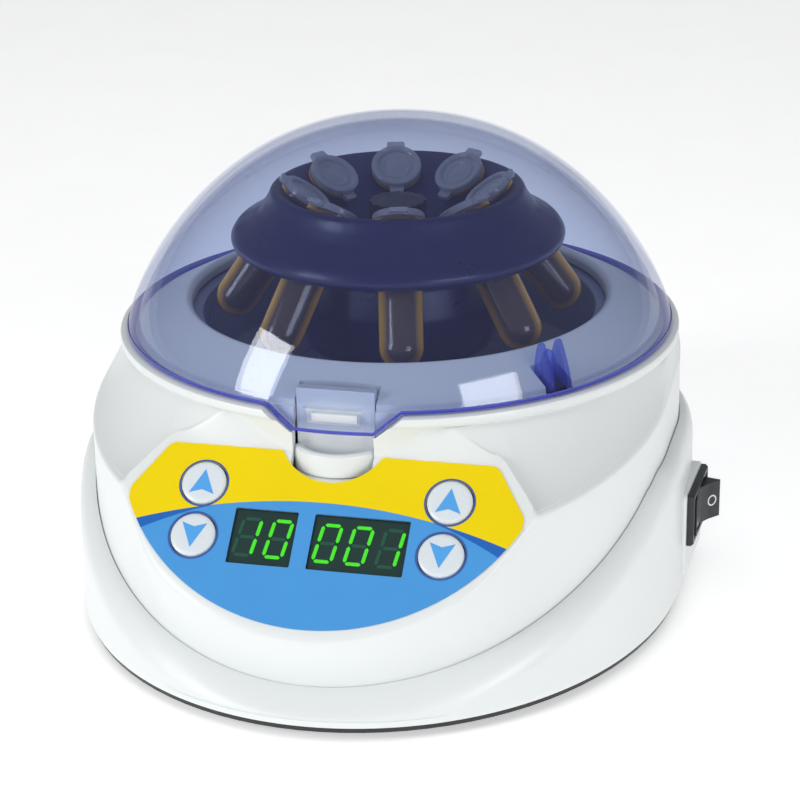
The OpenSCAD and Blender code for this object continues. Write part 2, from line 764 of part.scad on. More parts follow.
base_plate();
foot_ring();
base_screws();
lower_housing();
upper_housing();
chamber_bowl();
shaft_boot();
control_label();
speed_display();
time_display();
control_board();
board_screws();
key_switches();
key_speed_up();
key_speed_down();
key_time_up();
key_time_down();
latch_lever();
latch_pin();
latch_spring();
lid_dome();
hinge_pin();
interlock_switch();
rotor_head();
rotor_nut();
drive_cone();
motor_can();
motor_stator();
motor_core();
motor_shaft();
motor_bearings();
motor_plate();
motor_dampers();
motor_screws();
power_board();
mains_transformer();
power_capacitors();
mains_inlet();
inlet_pins();
inlet_screws();
switch_plate();
switch_frame();
power_rocker();
for (i = places_list) {
    tube(i);
    tube_cap(i);
}
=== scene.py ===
import json
from math import asin, atan2, cos, hypot, pi, radians, sin, sqrt, tan

import bmesh
import bpy
from mathutils import Matrix, Vector


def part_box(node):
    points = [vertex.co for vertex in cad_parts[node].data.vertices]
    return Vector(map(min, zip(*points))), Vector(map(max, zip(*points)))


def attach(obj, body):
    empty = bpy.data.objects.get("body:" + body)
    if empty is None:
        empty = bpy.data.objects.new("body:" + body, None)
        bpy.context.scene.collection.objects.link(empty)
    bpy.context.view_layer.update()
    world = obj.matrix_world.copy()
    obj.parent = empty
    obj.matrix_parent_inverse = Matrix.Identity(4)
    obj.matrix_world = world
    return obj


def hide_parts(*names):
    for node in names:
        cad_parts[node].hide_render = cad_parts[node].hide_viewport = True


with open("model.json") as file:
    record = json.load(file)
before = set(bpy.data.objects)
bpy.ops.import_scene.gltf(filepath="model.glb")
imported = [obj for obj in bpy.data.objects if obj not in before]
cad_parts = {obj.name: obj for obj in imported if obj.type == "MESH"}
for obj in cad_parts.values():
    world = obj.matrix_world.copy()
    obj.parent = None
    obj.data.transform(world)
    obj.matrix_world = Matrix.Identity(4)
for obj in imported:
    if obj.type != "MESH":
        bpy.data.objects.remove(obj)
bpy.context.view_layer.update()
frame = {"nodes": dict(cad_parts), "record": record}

# Lengths are in millimetres, measured from the rotor's axis and the table.
# -Y is the operator's side and +X the side of the power switch.
MM = 0.001


def box_mm(node):
    low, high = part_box(node)
    return [c / MM for c in low], [c / MM for c in high]


NUT_LOW, NUT_HIGH = box_mm("rotor_nut")
AXIS_X = (NUT_LOW[0] + NUT_HIGH[0]) / 2
AXIS_Y = (NUT_LOW[1] + NUT_HIGH[1]) / 2

# Oval outlines: half width, reach in front, rear radius, and the oval's shift
SKIRT = (76.3, 87.6, 76.0)
WALL = (71.8, 80.5, 72.0)
OVAL_SHIFT = 19.0
# Height of the skirt's lower edge
SKIRT_Z = 3.2
# Ledge between skirt and wall
LEDGE_Y, LEDGE_Z, LEDGE_SLOPE, LEDGE_TOP = -99.5, 10.5, radians(24.8), 40.5
# Control panel plane
PANEL_Y, PANEL_Z, PANEL_SLOPE = -78.3, 45.7, radians(41.7)
# Corners of the raised panel field, right-hand side, seen from above
FIELD_T, FIELD_TL, FIELD_L = (26.5, -65.0), (39.4, -65.8), (50.5, -76.9)
SHOULDER_RISE = tan(radians(7.6))
# Greatest height of the wall's upper edge, and the wall's thickness
EDGE_TOP, WALL_T = 60.4, 2.2
# The wall's upper edge flares by FLARE up to the first angle from the front, not at all past the last
FLARE, FLARE_FULL, FLARE_END = 3.3, radians(21), radians(33)
# Depth of the cheeks' hollow, and how far the panel's field rises in its upper part beside the latch
HOLLOW, FIELD_LIFT = 2.8, 4.4
# Round collar, the crease below it, the neck that the slopes run up to, and the deck's section
COLLAR_R, COLLAR_LOW, COLLAR_TOP = 71.5, 62.4, 65.0
CREASE_R, CREASE_Z = 70.5, 62.2
NECK_R = 69.0
DECK = [(66.0, 66.6), (54.2, 72.7), (52.8, 71.6), (52.8, 69.6)]
# Lid: rim radius, rim height, rise and thickness; half widths of its tab and the tab's lower edge
LID_R, LID_Z, DOME_RISE, DOME_T = 69.6, 65.4, 51.0, 2.2
TAB_TOP, TAB_BOTTOM, TAB_Z = 16.3, 9.8, 60.0
HINGE_Y = 73.5
LUG_TURN = radians(48)
# Controls in the panel's own frame: u across, v up the slope, w outward
KEY_U, KEY_V_UP, KEY_V_DOWN, KEY_R, KEY_PROUD = 29.4, 3.4, -9.9, 5.3, 0.9
KEY_SPOTS = [(u, v) for u in (-KEY_U, KEY_U) for v in (KEY_V_UP, KEY_V_DOWN)]
# Gap round each key and display in the housing
OPENING = 0.3
DISPLAY_V, DISPLAY_H, DISPLAY_TOP = -9.0, 13.9, -0.4
# Middle, width and digits of each display
DISPLAYS = {"speed_display": (-12.9, 15.1, "10"), "time_display": (9.9, 22.6, "001")}
LABEL_T = 0.3
# Tubes
TUBES = range(1, 9)
FIRST_PLACE, TUBE_TILT = radians(14), radians(35)
TUBE_END_R, TUBE_END_Z, TUBE_R, TUBE_LEN, CAP_R = 41.3, 71.5, 5.4, 30.4, 6.5
# Latch
LATCH_Y0, BOSS_Y, LATCH_W, LATCH_SLOT = -65.2, -61.0, 18.8, 19.6
# Switch on the right-hand side
SWITCH_TURN, SWITCH_Z, FRAME_RISE, ROCKER_REST = radians(-3), 16.4, 3.8, radians(14)

PANEL = Matrix.Translation((0, PANEL_Y, PANEL_Z)) @ Matrix.Rotation(PANEL_SLOPE, 4, "X")
# Turns a flat piece upright: its x runs along +Y, its y up, and its z out along +X
OUTWARD = Matrix(((0, 0, 1, 0), (1, 0, 0, 0), (0, 1, 0, 0), (0, 0, 0, 1)))
SWITCH = (Matrix.Rotation(SWITCH_TURN, 4, "Z") @ Matrix.Translation((SKIRT[2] - 1, 0, SWITCH_Z))
          @ OUTWARD)
INLET = (Matrix.Translation((0, 73, 20)) @ Matrix.Rotation(pi, 4, "Z")
         @ Matrix.Rotation(pi / 2, 4, "X"))


# ---- camera, lights and stage ----
# Lights and floor are placed in metres
MIDDLE_HEIGHT = 0.06
SKY_COLOUR, SKY_STRENGTH = (0.97, 0.985, 1, 1), 0.31
FLOOR_COLOUR, FLOOR_GLOW = (0.93, 0.93, 0.935), 0.44


def make_camera():
    azimuth, elevation, roll = radians(13.6), radians(21.73), radians(-1.025)
    distance, lens, sensor = 618.0, 107.9, 36
    aim_height, aim_right, aim_up = 61.8, 0.05, -18.87
    back = Vector((sin(azimuth) * cos(elevation), -cos(azimuth) * cos(elevation), sin(elevation)))
    level = Vector((cos(azimuth), sin(azimuth), 0))
    upright = back.cross(level)
    right = level * cos(roll) + upright * sin(roll)
    up = upright * cos(roll) - level * sin(roll)
    target = Vector((0, 0, aim_height)) + right * aim_right + up * aim_up
    spot = target + back * distance
    data = bpy.data.cameras.new("camera")
    data.lens = lens
    data.sensor_width = sensor
    data.clip_start, data.clip_end = 0.01, 50
    camera = bpy.data.objects.new("camera", data)
    matrix = Matrix((right, up, back)).transposed().to_4x4()
    matrix.translation = Vector((spot.x + AXIS_X, spot.y + AXIS_Y, spot.z)) * MM
    camera.matrix_world = matrix
    bpy.context.scene.collection.objects.link(camera)
    bpy.context.scene.camera = camera


def area_light(name, azimuth, elevation, distance, size, power, mirrored=True):
    """A softbox that looks at the middle of the object, azimuth counted from the front."""
    azimuth, elevation = radians(azimuth), radians(elevation)
    away = Vector((sin(azimuth) * cos(elevation), -cos(azimuth) * cos(elevation), sin(elevation)))
    data = bpy.data.lights.new(name, "AREA")
    data.shape = "RECTANGLE"
    data.size, data.size_y = size
    data.energy = power
    light = bpy.data.objects.new(name, data)
    light.location = away * distance + Vector((0, 0, MIDDLE_HEIGHT))
    light.rotation_mode = "QUATERNION"
    light.rotation_quaternion = (-away).to_track_quat("-Z", "Y")
    light.visible_glossy = mirrored
    bpy.context.scene.collection.objects.link(light)


def make_stage():
    scene = bpy.context.scene
    scene.view_settings.view_transform = "Standard"
    world = bpy.data.worlds.new("studio")
    world.use_nodes = True
    sky = world.node_tree.nodes["Background"]
    sky.inputs["Color"].default_value = SKY_COLOUR
    sky.inputs["Strength"].default_value = SKY_STRENGTH
    scene.world = world
    area_light("left_softbox", -47, 18, 0.95, (0.27, 0.50), 3.7)
    area_light("right_softbox", 50, 11, 1.0, (0.42, 0.36), 2.9)
    area_light("top_softbox", 10, 78, 1.1, (0.9, 0.9), 3.2, mirrored=False)
    bm = bmesh.new()
    bmesh.ops.create_grid(bm, x_segments=8, y_segments=8, size=4.0)
    mesh = bpy.data.meshes.new("floor")
    bm.to_mesh(mesh)
    bm.free()
    floor = bpy.data.objects.new("floor", mesh)
    scene.collection.objects.link(floor)
    paper = moulded("floor_paper", FLOOR_COLOUR, 0.8, grain=0.02, grain_scale=500)
    shader = paper.node_tree.nodes["Principled BSDF"]
    shader.inputs["Emission Color"].default_value = (1, 1, 1, 1)
    shader.inputs["Emission Strength"].default_value = FLOOR_GLOW
    floor.data.materials.append(paper)


# ---- materials ----
class Nodes:
    """Short calls for building one material's node tree."""

    def __init__(self, name):
        self.material = bpy.data.materials.new(name)
        self.material.use_nodes = True
        self.tree = self.material.node_tree
        self.bsdf = self.tree.nodes["Principled BSDF"]
        self.output = self.tree.nodes["Material Output"]
        self.place = self.tree.nodes.new("ShaderNodeTexCoord").outputs["Object"]

    def node(self, kind, **settings):
        made = self.tree.nodes.new(kind)
        for key, value in settings.items():
            setattr(made, key, value)
        return made

    def link(self, source, target):
        self.tree.links.new(source, target)

    def noise(self, scale, detail=3.0, stretch=None):
        noise = self.node("ShaderNodeTexNoise")
        noise.inputs["Scale"].default_value = scale
        noise.inputs["Detail"].default_value = detail
        place = self.place
        if stretch:
            mapping = self.node("ShaderNodeMapping")
            mapping.inputs["Scale"].default_value = stretch
            self.link(place, mapping.inputs["Vector"])
            place = mapping.outputs["Vector"]
        self.link(place, noise.inputs["Vector"])
        return noise.outputs["Fac"]

    def span(self, value, low, high, start=0.3, end=0.7):
        """Maps value from start..end to low..high."""
        node = self.node("ShaderNodeMapRange")
        self.link(value, node.inputs["Value"])
        ends = {"From Min": start, "From Max": end, "To Min": low, "To Max": high}
        for key, number in ends.items():
            node.inputs[key].default_value = number
        return node.outputs["Result"]

    def mix(self, factor, first, second):
        """Colour between first and second; each is a socket or an (r, g, b)."""
        node = self.node("ShaderNodeMix", data_type="RGBA")
        sockets = [s for s in node.inputs if s.type == "RGBA"]
        self.put(factor, node.inputs["Factor"])
        self.put(first, sockets[0])
        self.put(second, sockets[1])
        return [s for s in node.outputs if s.type == "RGBA"][0]

    def math(self, operation, first, second=0.0):
        node = self.node("ShaderNodeMath", operation=operation)
        for socket, value in zip(node.inputs, (first, second)):
            self.put(value, socket)
        return node.outputs["Value"]

    def put(self, value, socket):
        """Gives a socket its value: another socket, an (r, g, b) or a number."""
        if isinstance(value, bpy.types.NodeSocket):
            self.link(value, socket)
        elif isinstance(value, tuple):
            socket.default_value = (*value, 1)
        else:
            socket.default_value = value

    def let_through(self, tint, share):
        """Replaces all but a share of the surface by clear tinted stuff without refraction."""
        clear = self.node("ShaderNodeBsdfTransparent")
        clear.inputs["Color"].default_value = (*tint, 1)
        mixer = self.node("ShaderNodeMixShader")
        self.put(share, mixer.inputs["Fac"])
        self.link(clear.outputs["BSDF"], mixer.inputs[1])
        self.link(self.bsdf.outputs["BSDF"], mixer.inputs[2])
        self.link(mixer.outputs["Shader"], self.output.inputs["Surface"])

    def bump(self, height, strength, distance=0.0002):
        node = self.node("ShaderNodeBump")
        node.inputs["Strength"].default_value = strength
        node.inputs["Distance"].default_value = distance
        self.link(height, node.inputs["Height"])
        self.link(node.outputs["Normal"], self.bsdf.inputs["Normal"])


def scaled(colour, factor):
    return tuple(min(1.0, c * factor) for c in colour)


def moulded(name, colour, rough, grain=0.05, grain_scale=1500, vary=0.04, coat=0.0, metallic=0.0,
            stretch=None, wear=0.0, spread=0.2, patch=160):
    """A moulded, painted or turned surface: fine grain, uneven gloss and slight colour drift."""
    n = Nodes(name)
    drift = n.noise(28, 4)
    tint = n.mix(drift, scaled(colour, 1 - vary), scaled(colour, 1 + vary))
    gloss = n.span(n.noise(patch, 5, stretch), rough * (1 - spread), min(1.0, rough * (1 + spread)))
    if wear:
        edges = n.span(n.node("ShaderNodeNewGeometry").outputs["Pointiness"], 0, wear, 0.52, 0.60)
        tint = n.mix(edges, tint, scaled(colour, 1.25))
        gloss = n.math("SUBTRACT", gloss, n.math("MULTIPLY", edges, 0.2))
    n.link(tint, n.bsdf.inputs["Base Color"])
    n.link(gloss, n.bsdf.inputs["Roughness"])
    n.bsdf.inputs["Metallic"].default_value = metallic
    n.bsdf.inputs["Coat Weight"].default_value = coat
    n.bsdf.inputs["Coat Roughness"].default_value = 0.12
    n.bump(n.noise(grain_scale, 2, stretch), grain)
    return n.material


def see_through(name, tint, body, low, high, rough=0.06, power=2.5, gloss=1.5):
    """Clear tinted plastic: it passes tint straight on and shines more at its edges."""
    n = Nodes(name)
    facing = n.node("ShaderNodeLayerWeight").outputs["Facing"]
    share = n.span(n.math("POWER", facing, power), low, high, 0.0, 1.0)
    smudge = n.noise(30, 6)
    haze = n.mix(smudge, scaled(body, 0.9), body)
    n.link(haze, n.bsdf.inputs["Base Color"])
    n.link(n.span(smudge, rough * 0.7, rough * 1.5), n.bsdf.inputs["Roughness"])
    n.bsdf.inputs["Coat Weight"].default_value = 1.0
    n.bsdf.inputs["Coat IOR"].default_value = gloss
    n.bsdf.inputs["Coat Roughness"].default_value = 0.02
    n.let_through(tint, share)
    n.bump(n.noise(45, 2), 0.03, 0.0004)
    return n.material


def tube_plastic():
    """Amber polypropylene whose colour is set by viewing angle: painted shade makes the middle near
    black, and painted light makes the wall bright amber where it is seen edge on.
    """
    n = Nodes("amber_tube")
    facing = n.node("ShaderNodeLayerWeight").outputs["Facing"]
    edge = n.span(facing, 0.0, 1.0, 0.22, 0.62)
    # Base colour from the viewing angle: near black face on is painted shade, and bright amber edge on
    # is painted light. The amber hue is the tube's own tint.
    n.link(n.mix(edge, (0.10, 0.075, 0.05), (1.0, 0.56, 0.05)), n.bsdf.inputs["Base Color"])
    n.link(n.span(n.noise(200, 4), 0.10, 0.24), n.bsdf.inputs["Roughness"])
    n.bsdf.inputs["Coat Weight"].default_value = 0.6
    n.let_through((0.80, 0.62, 0.36), 0.72)
    n.bump(n.noise(260, 3), 0.05)
    return n.material


def label_film():
    """Printed film: yellow above a curved line, light blue below, dark crescents at both ends."""
    n = Nodes("label_film")
    across = n.node("ShaderNodeVectorMath", operation="DOT_PRODUCT")
    across.inputs[1].default_value = (1 / MM, 0, 0)
    upslope = n.node("ShaderNodeVectorMath", operation="DOT_PRODUCT")
    upslope.inputs[1].default_value = (0, cos(PANEL_SLOPE) / MM, sin(PANEL_SLOPE) / MM)
    for node in (across, upslope):
        n.link(n.place, node.inputs[0])
    u = n.math("SUBTRACT", across.outputs["Value"], AXIS_X)
    zero = (AXIS_Y + PANEL_Y) * cos(PANEL_SLOPE) + PANEL_Z * sin(PANEL_SLOPE)
    v = n.math("SUBTRACT", upslope.outputs["Value"], zero)
    # The line stands at crest in the middle and is fall lower at a distance of fall_at
    crest, fall, fall_at = 0.8, 7.3, 43.0
    # A crescent begins at crescent_from and deepens to depth_there over the next crescent_run
    crescent_from, crescent_run, crescent_bend, depth_there = 25.0, 20.0, 1.3, 3.4
    blur = 0.08
    sideways = n.math("ABSOLUTE", u)
    square = n.math("POWER", n.math("DIVIDE", sideways, fall_at), 2.0)
    above = n.math("SUBTRACT", v, n.math("SUBTRACT", crest, n.math("MULTIPLY", square, fall)))
    reach = n.math("MAXIMUM", n.math("SUBTRACT", sideways, crescent_from), 0.0)
    bent = n.math("POWER", n.math("DIVIDE", reach, crescent_run), crescent_bend)
    depth = n.math("MULTIPLY", bent, depth_there)
    yellow = n.span(above, 0, 1, -blur, blur)
    crescent = n.span(n.math("ADD", above, depth), 0, 1, -blur, blur)
    blue = n.mix(n.noise(90, 3), (0.065, 0.30, 0.68), (0.075, 0.33, 0.73))
    below = n.mix(crescent, blue, (0.018, 0.13, 0.47))
    gold = n.mix(n.noise(90, 3), (0.84, 0.63, 0.0), (0.88, 0.67, 0.002))
    n.link(n.mix(yellow, below, gold), n.bsdf.inputs["Base Color"])
    n.link(n.span(n.noise(60, 3), 0.32, 0.40), n.bsdf.inputs["Roughness"])
    n.bsdf.inputs["Specular IOR Level"].default_value = 0.25
    n.bump(n.noise(2600, 2), 0.04)
    return n.material


def glow(name, colour, strength):
    """A display segment's colour, slightly uneven, with its own light."""
    n = Nodes(name)
    tint = n.mix(n.noise(700, 2), scaled(colour, 0.8), colour)
    n.link(tint, n.bsdf.inputs["Base Color"])
    n.link(tint, n.bsdf.inputs["Emission Color"])
    n.bsdf.inputs["Emission Strength"].default_value = strength
    n.bsdf.inputs["Roughness"].default_value = 0.4
    return n.material


def make_materials():
    """Materials by slot name, and a few more that single pieces use."""
    return {
        "zinc_steel": moulded("bright_steel", (0.60, 0.61, 0.63), 0.28, grain=0.12,
                              grain_scale=900, metallic=1.0, stretch=(1, 1, 6)),
        "housing_plastic": moulded("white_abs", (0.76, 0.79, 0.785), 0.34, grain=0.03,
                                   vary=0.012, spread=0.1, patch=40),
        "black_plastic": moulded("black_abs", (0.018, 0.019, 0.022), 0.38, grain=0.10, wear=0.3),
        "foot_rubber": moulded("foot_rubber", (0.016, 0.016, 0.017), 0.75, grain=0.25,
                               grain_scale=900),
        "bowl_plastic": moulded("bowl_plastic", (0.20, 0.23, 0.31), 0.34, grain=0.08, vary=0.06),
        "label_film": label_film(),
        "display_lens": moulded("display_window", (0.010, 0.036, 0.031), 0.16, grain=0.02,
                                vary=0.15, coat=0.3),
        "lit": glow("segment_lit", (0.05, 0.60, 0.015), 0.5),
        "dim": glow("segment_dim", (0.012, 0.085, 0.055), 0.05),
        "circuit_board": moulded("circuit_board", (0.02, 0.16, 0.07), 0.40, grain=0.15,
                                 grain_scale=600),
        "key_plastic": moulded("key_cap", (0.70, 0.76, 0.80), 0.32, grain=0.04, coat=0.1),
        "ring": moulded("ring_ink", (0.045, 0.10, 0.36), 0.35),
        "arrow": moulded("arrow_ink", (0.085, 0.37, 0.80), 0.35),
        "dome_clear": see_through("clear_violet", (0.885, 0.92, 1.0), (0.02, 0.03, 0.24),
                                  0.105, 0.6, power=3.5, gloss=4.0),
        # The lid's rim: the same violet plastic painted deep blue and nearly opaque, a painted glow of
        # light carried along the sheet to its edge
        "dome_rim_painted_glow": see_through("violet_rim_painted_glow", (0.25, 0.28, 0.85), (0.028, 0.045, 0.50),
                                 0.72, 0.95, rough=0.12),
        "lug": see_through("violet_lug", (0.70, 0.76, 1.0), (0.06, 0.12, 0.85), 0.14, 0.85,
                           rough=0.1, power=1.2, gloss=2.5),
        "rotor_plastic": moulded("navy_rotor", (0.009, 0.011, 0.062), 0.34, grain=0.05, vary=0.1,
                                 coat=0.08),
        "turned_aluminium": moulded("turned_aluminium", (0.70, 0.71, 0.72), 0.30, grain=0.2,
                                    grain_scale=700, metallic=1.0, stretch=(1, 1, 8)),
        "motor_paint": moulded("motor_paint", (0.07, 0.07, 0.08), 0.45, grain=0.2),
        "copper_winding": moulded("copper_winding", (0.55, 0.24, 0.09), 0.35, grain=0.6,
                                  grain_scale=500, metallic=0.9, stretch=(1, 1, 5)),
        "core_iron": moulded("core_iron", (0.26, 0.26, 0.27), 0.5, grain=0.4, metallic=0.9,
                             stretch=(1, 1, 20)),
        "transformer_tape": moulded("transformer_tape", (0.75, 0.55, 0.06), 0.45, grain=0.1),
        "brass_pin": moulded("brass_pin", (0.78, 0.60, 0.28), 0.25, metallic=1.0),
        "tube_plastic": tube_plastic(),
        "cap_plastic": see_through("cap_plastic", (0.66, 0.66, 0.68), (0.52, 0.55, 0.62),
                                   0.42, 0.92, rough=0.3),
    }


# ---- mesh tools ----
def lerp(a, b, t):
    return a + (b - a) * t


def smooth(low, high, x):
    t = min(max((x - low) / (high - low), 0.0), 1.0)
    return t * t * (3 - 2 * t)


def soften(points, radius, steps=4, closed=True, only=None):
    """Rounds the corners of a flat outline; only names the corners to round."""
    made = []
    count = len(points)
    for i, point in enumerate(points):
        ends = not closed and i in (0, count - 1)
        if ends or (only is not None and i not in only):
            made.append(tuple(point))
            continue
        here = Vector(point)
        before, after = Vector(points[i - 1]) - here, Vector(points[(i + 1) % count]) - here
        cut = min(radius, before.length * 0.45, after.length * 0.45)
        start, end = here + before.normalized() * cut, here + after.normalized() * cut
        for k in range(steps + 1):
            t = k / steps
            made.append(tuple(start * (1 - t) ** 2 + here * 2 * t * (1 - t) + end * t * t))
    return made


def arc(centre, radius, start, end, steps):
    """Points of an arc, angles in degrees."""
    angles = [radians(lerp(start, end, k / steps)) for k in range(steps + 1)]
    return [(centre[0] + radius * cos(a), centre[1] + radius * sin(a)) for a in angles]


def ring_points(centre, radius, count=64):
    """A full circle, its first point not repeated."""
    return arc(centre, radius, 0, 360 - 360 / count, count - 1)


def round_rect(half_w, half_h, radius, steps=5):
    made = []
    for sx, sy, start in ((1, 1, 0), (-1, 1, 90), (-1, -1, 180), (1, -1, 270)):
        centre = (sx * (half_w - radius), sy * (half_h - radius))
        made += arc(centre, radius, start, start + 90, steps)
    return made


def close_up(mesh, dist):
    """Joins points closer than dist metres and turns all faces outward."""
    bm = bmesh.new()
    bm.from_mesh(mesh)
    bmesh.ops.remove_doubles(bm, verts=bm.verts, dist=dist)
    bmesh.ops.recalc_face_normals(bm, faces=bm.faces)
    bm.to_mesh(mesh)
    bm.free()


class Shape:
    """Vertices, faces and material numbers gathered for one piece."""

    def __init__(self):
        self.verts, self.faces, self.numbers = [], [], []

    def add(self, verts, faces, number=0, place=None):
        base = len(self.verts)
        self.verts += [place @ Vector(v) if place else Vector(v) for v in verts]
        self.faces += [[base + i for i in face] for face in faces]
        self.numbers += [number] * len(faces)

    def rings(self, rings, number=0, place=None, loop=False):
        """Skins a row of closed rings; with loop the last joins the first, else the ends are capped."""
        count = len(rings[0])
        verts = [p for ring in rings for p in ring]
        faces = []
        rows = len(rings) if loop else len(rings) - 1
        for i in range(rows):
            a, b = i * count, (i + 1) % len(rings) * count
            for j in range(count):
                k = (j + 1) % count
                faces.append((a + j, a + k, b + k, b + j))
        if not loop:
            faces += [tuple(reversed(range(count))), tuple(range(len(verts) - count, len(verts)))]
        self.add(verts, faces, number, place)

    def lathe(self, profile, segments, place=None):
        """Turns a closed (radius, height) profile round the Z axis."""
        count = len(profile)
        verts, faces = [], []
        for s in range(segments):
            a = 2 * pi * s / segments
            verts += [(r * cos(a), r * sin(a), z) for r, z in profile]
            for i in range(count):
                k = (i + 1) % count
                if profile[i][0] == 0 and profile[k][0] == 0:
                    continue
                here, there = s * count, (s + 1) % segments * count
                faces.append((here + i, here + k, there + k, there + i))
        self.add(verts, faces, place=place)

    def block(self, low, high, place=None):
        spans = list(zip(low, high))
        verts = [(x, y, z) for x in spans[0] for y in spans[1] for z in spans[2]]
        faces = [(0, 1, 3, 2), (4, 6, 7, 5), (0, 4, 5, 1), (2, 3, 7, 6), (0, 2, 6, 4), (1, 5, 7, 3)]
        self.add(verts, faces, place=place)

    def prism(self, outline, low, high, number=0, place=None):
        """A flat outline drawn up from low to high."""
        self.rings([[(x, y, z) for x, y in outline] for z in (low, high)], number, place)

    def pillow(self, outline, low, high, edge, place=None, steps=3):
        """A prism of a roughly round outline whose upper rim is rounded by edge."""
        cx = sum(p[0] for p in outline) / len(outline)
        cy = sum(p[1] for p in outline) / len(outline)
        rings = [[(x, y, low) for x, y in outline], [(x, y, high - edge) for x, y in outline]]
        for k in range(1, steps + 1):
            a = pi / 2 * k / steps
            inset, z = edge * (1 - cos(a)), high - edge + edge * sin(a)
            ring = []
            for x, y in outline:
                away = hypot(x - cx, y - cy) or 1.0
                ring.append((x - (x - cx) / away * inset, y - (y - cy) / away * inset, z))
            rings.append(ring)
        self.rings(rings, place=place)

    def mesh(self, name):
        mesh = bpy.data.meshes.new(name)
        spots = [Vector((v.x + AXIS_X, v.y + AXIS_Y, v.z)) * MM for v in self.verts]
        mesh.from_pydata(spots, [], self.faces)
        mesh.polygons.foreach_set("material_index", self.numbers)
        close_up(mesh, 2e-6)
        return mesh


def finished(name, mesh, body, slot, nodes=(), sharp=38, bevel=0.0, materials=None):
    """Makes the object, in its slot's material if none is named, hangs it on its body's empty and hides
    the CAD nodes it replaces.
    """
    piece = bpy.data.objects.new(name, mesh)
    bpy.context.scene.collection.objects.link(piece)
    for material in materials or [slot]:
        mesh.materials.append(MATERIALS[material])
    mesh.shade_smooth()
    mesh.set_sharp_from_angle(angle=radians(sharp))
    if bevel:
        modifier = piece.modifiers.new("bevel", "BEVEL")
        modifier.width = bevel * MM
        modifier.segments = 3
        modifier.limit_method = "ANGLE"
        modifier.angle_limit = radians(35)
        modifier.harden_normals = True
    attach(piece, body)
    if nodes:
        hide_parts(*nodes)


def carve(mesh, cutter):
    """The mesh without the cutter's volume."""
    scene = bpy.context.scene
    block, knife = bpy.data.objects.new("block", mesh), bpy.data.objects.new("knife", cutter)
    for helper in (block, knife):
        scene.collection.objects.link(helper)
    modifier = block.modifiers.new("cut", "BOOLEAN")
    modifier.operation = "DIFFERENCE"
    modifier.solver = "EXACT"
    modifier.object = knife
    bpy.context.view_layer.update()
    graph = bpy.context.evaluated_depsgraph_get()
    cut = bpy.data.meshes.new_from_object(block.evaluated_get(graph))
    for helper in (block, knife):
        bpy.data.objects.remove(helper)
    return cut


# ---- outlines and heights of the housing ----
def oval_radius(turn, oval):
    """Distance from the rotor axis to an oval outline, turn counted from the front to the right."""
    half_w, reach, rear = oval
    dx, dy = sin(turn), -cos(turn)
    if dy >= 0:
        return rear
    a = (dx / half_w) ** 2 + (dy / reach) ** 2
    b = 2 * dy * OVAL_SHIFT / reach ** 2
    c = (OVAL_SHIFT / reach) ** 2 - 1
    radius = (-b + sqrt(b * b - 4 * a * c)) / (2 * a)
    if radius * dy <= -OVAL_SHIFT:
        return radius
    return rear / (abs(dx) + (half_w - rear) / OVAL_SHIFT * dy)


def at(turn, radius, z):
    """Point at a radius from the rotor axis in the direction turn."""
    return (radius * sin(turn), -radius * cos(turn), z)


def ledge_z(y):
    """Height of the ledge: a slope that bends over into a level top."""
    rise = LEDGE_Z + (y - LEDGE_Y) * tan(LEDGE_SLOPE)
    return rise if rise < LEDGE_TOP - 2 else LEDGE_TOP - 2 * (1 - smooth(-2, 2, rise - LEDGE_TOP))


def panel_height(y):
    return PANEL_Z + (y - PANEL_Y) * tan(PANEL_SLOPE)


def crossing(turn, a, b):
    """Radius at which the direction turn meets the line through a and b."""
    dx, dy = b[0] - a[0], b[1] - a[1]
    return (a[0] * dy - a[1] * dx) / (sin(turn) * dy + cos(turn) * dx)


def direction(point):
    return atan2(point[0], -point[1])


def field_edge(turn):
    """Radius at which the panel field's raised edge lies, for a turn of either sign."""
    turn = abs(turn)
    if turn < direction(FIELD_T):
        return 0.0
    if turn < direction(FIELD_TL):
        return crossing(turn, FIELD_T, FIELD_TL)
    if turn < direction(FIELD_L):
        return crossing(turn, FIELD_TL, FIELD_L)
    return 200.0


def from_front(turn):
    """Angle between the direction turn and the front."""
    return min(abs(turn), 2 * pi - abs(turn))


def rim_radius(turn):
    """Radius of the wall's upper edge, which flares out in front to carry the panel."""
    return oval_radius(turn, WALL) + FLARE * (1 - smooth(FLARE_FULL, FLARE_END, from_front(turn)))


def edge_height(turn):
    """Height of the upper edge of the oval wall."""
    y = -rim_radius(turn) * cos(turn)
    if abs(turn) < direction(FIELD_L):
        return panel_height(y)
    slope = panel_height(FIELD_L[1]) + (y - FIELD_L[1]) * SHOULDER_RISE
    return min(slope, lerp(slope, EDGE_TOP, smooth(56, 62, slope)))


def slope_height(turn, radius):
    """Height of the surface between the wall's edge and the neck."""
    wall_r, wall_z = rim_radius(turn), edge_height(turn)
    run = max(wall_r - CREASE_R, 0.5)
    t = min(max((wall_r - radius) / run, 0.0), 1.0)
    hollow = HOLLOW * min(run / 20, 1.0) * 4 * t * (1 - t)
    cheek = lerp(wall_z, CREASE_Z, t) - hollow
    y = -radius * cos(turn)
    v = (y - PANEL_Y) / cos(PANEL_SLOPE)
    lift = FIELD_LIFT * smooth(77, NECK_R, radius) * smooth(13.6, 18.0, v)
    inside = smooth(-0.5, 0.5, radius - field_edge(turn))
    return lerp(cheek, panel_height(y) + lift, inside)


def housing_turns():
    """Column directions: close together in front, where the panel is."""
    front = [radians(-50 + 0.4 * k) for k in range(251)]
    rear = [radians(50 + 2 * k) for k in range(1, 130)]
    return front + rear


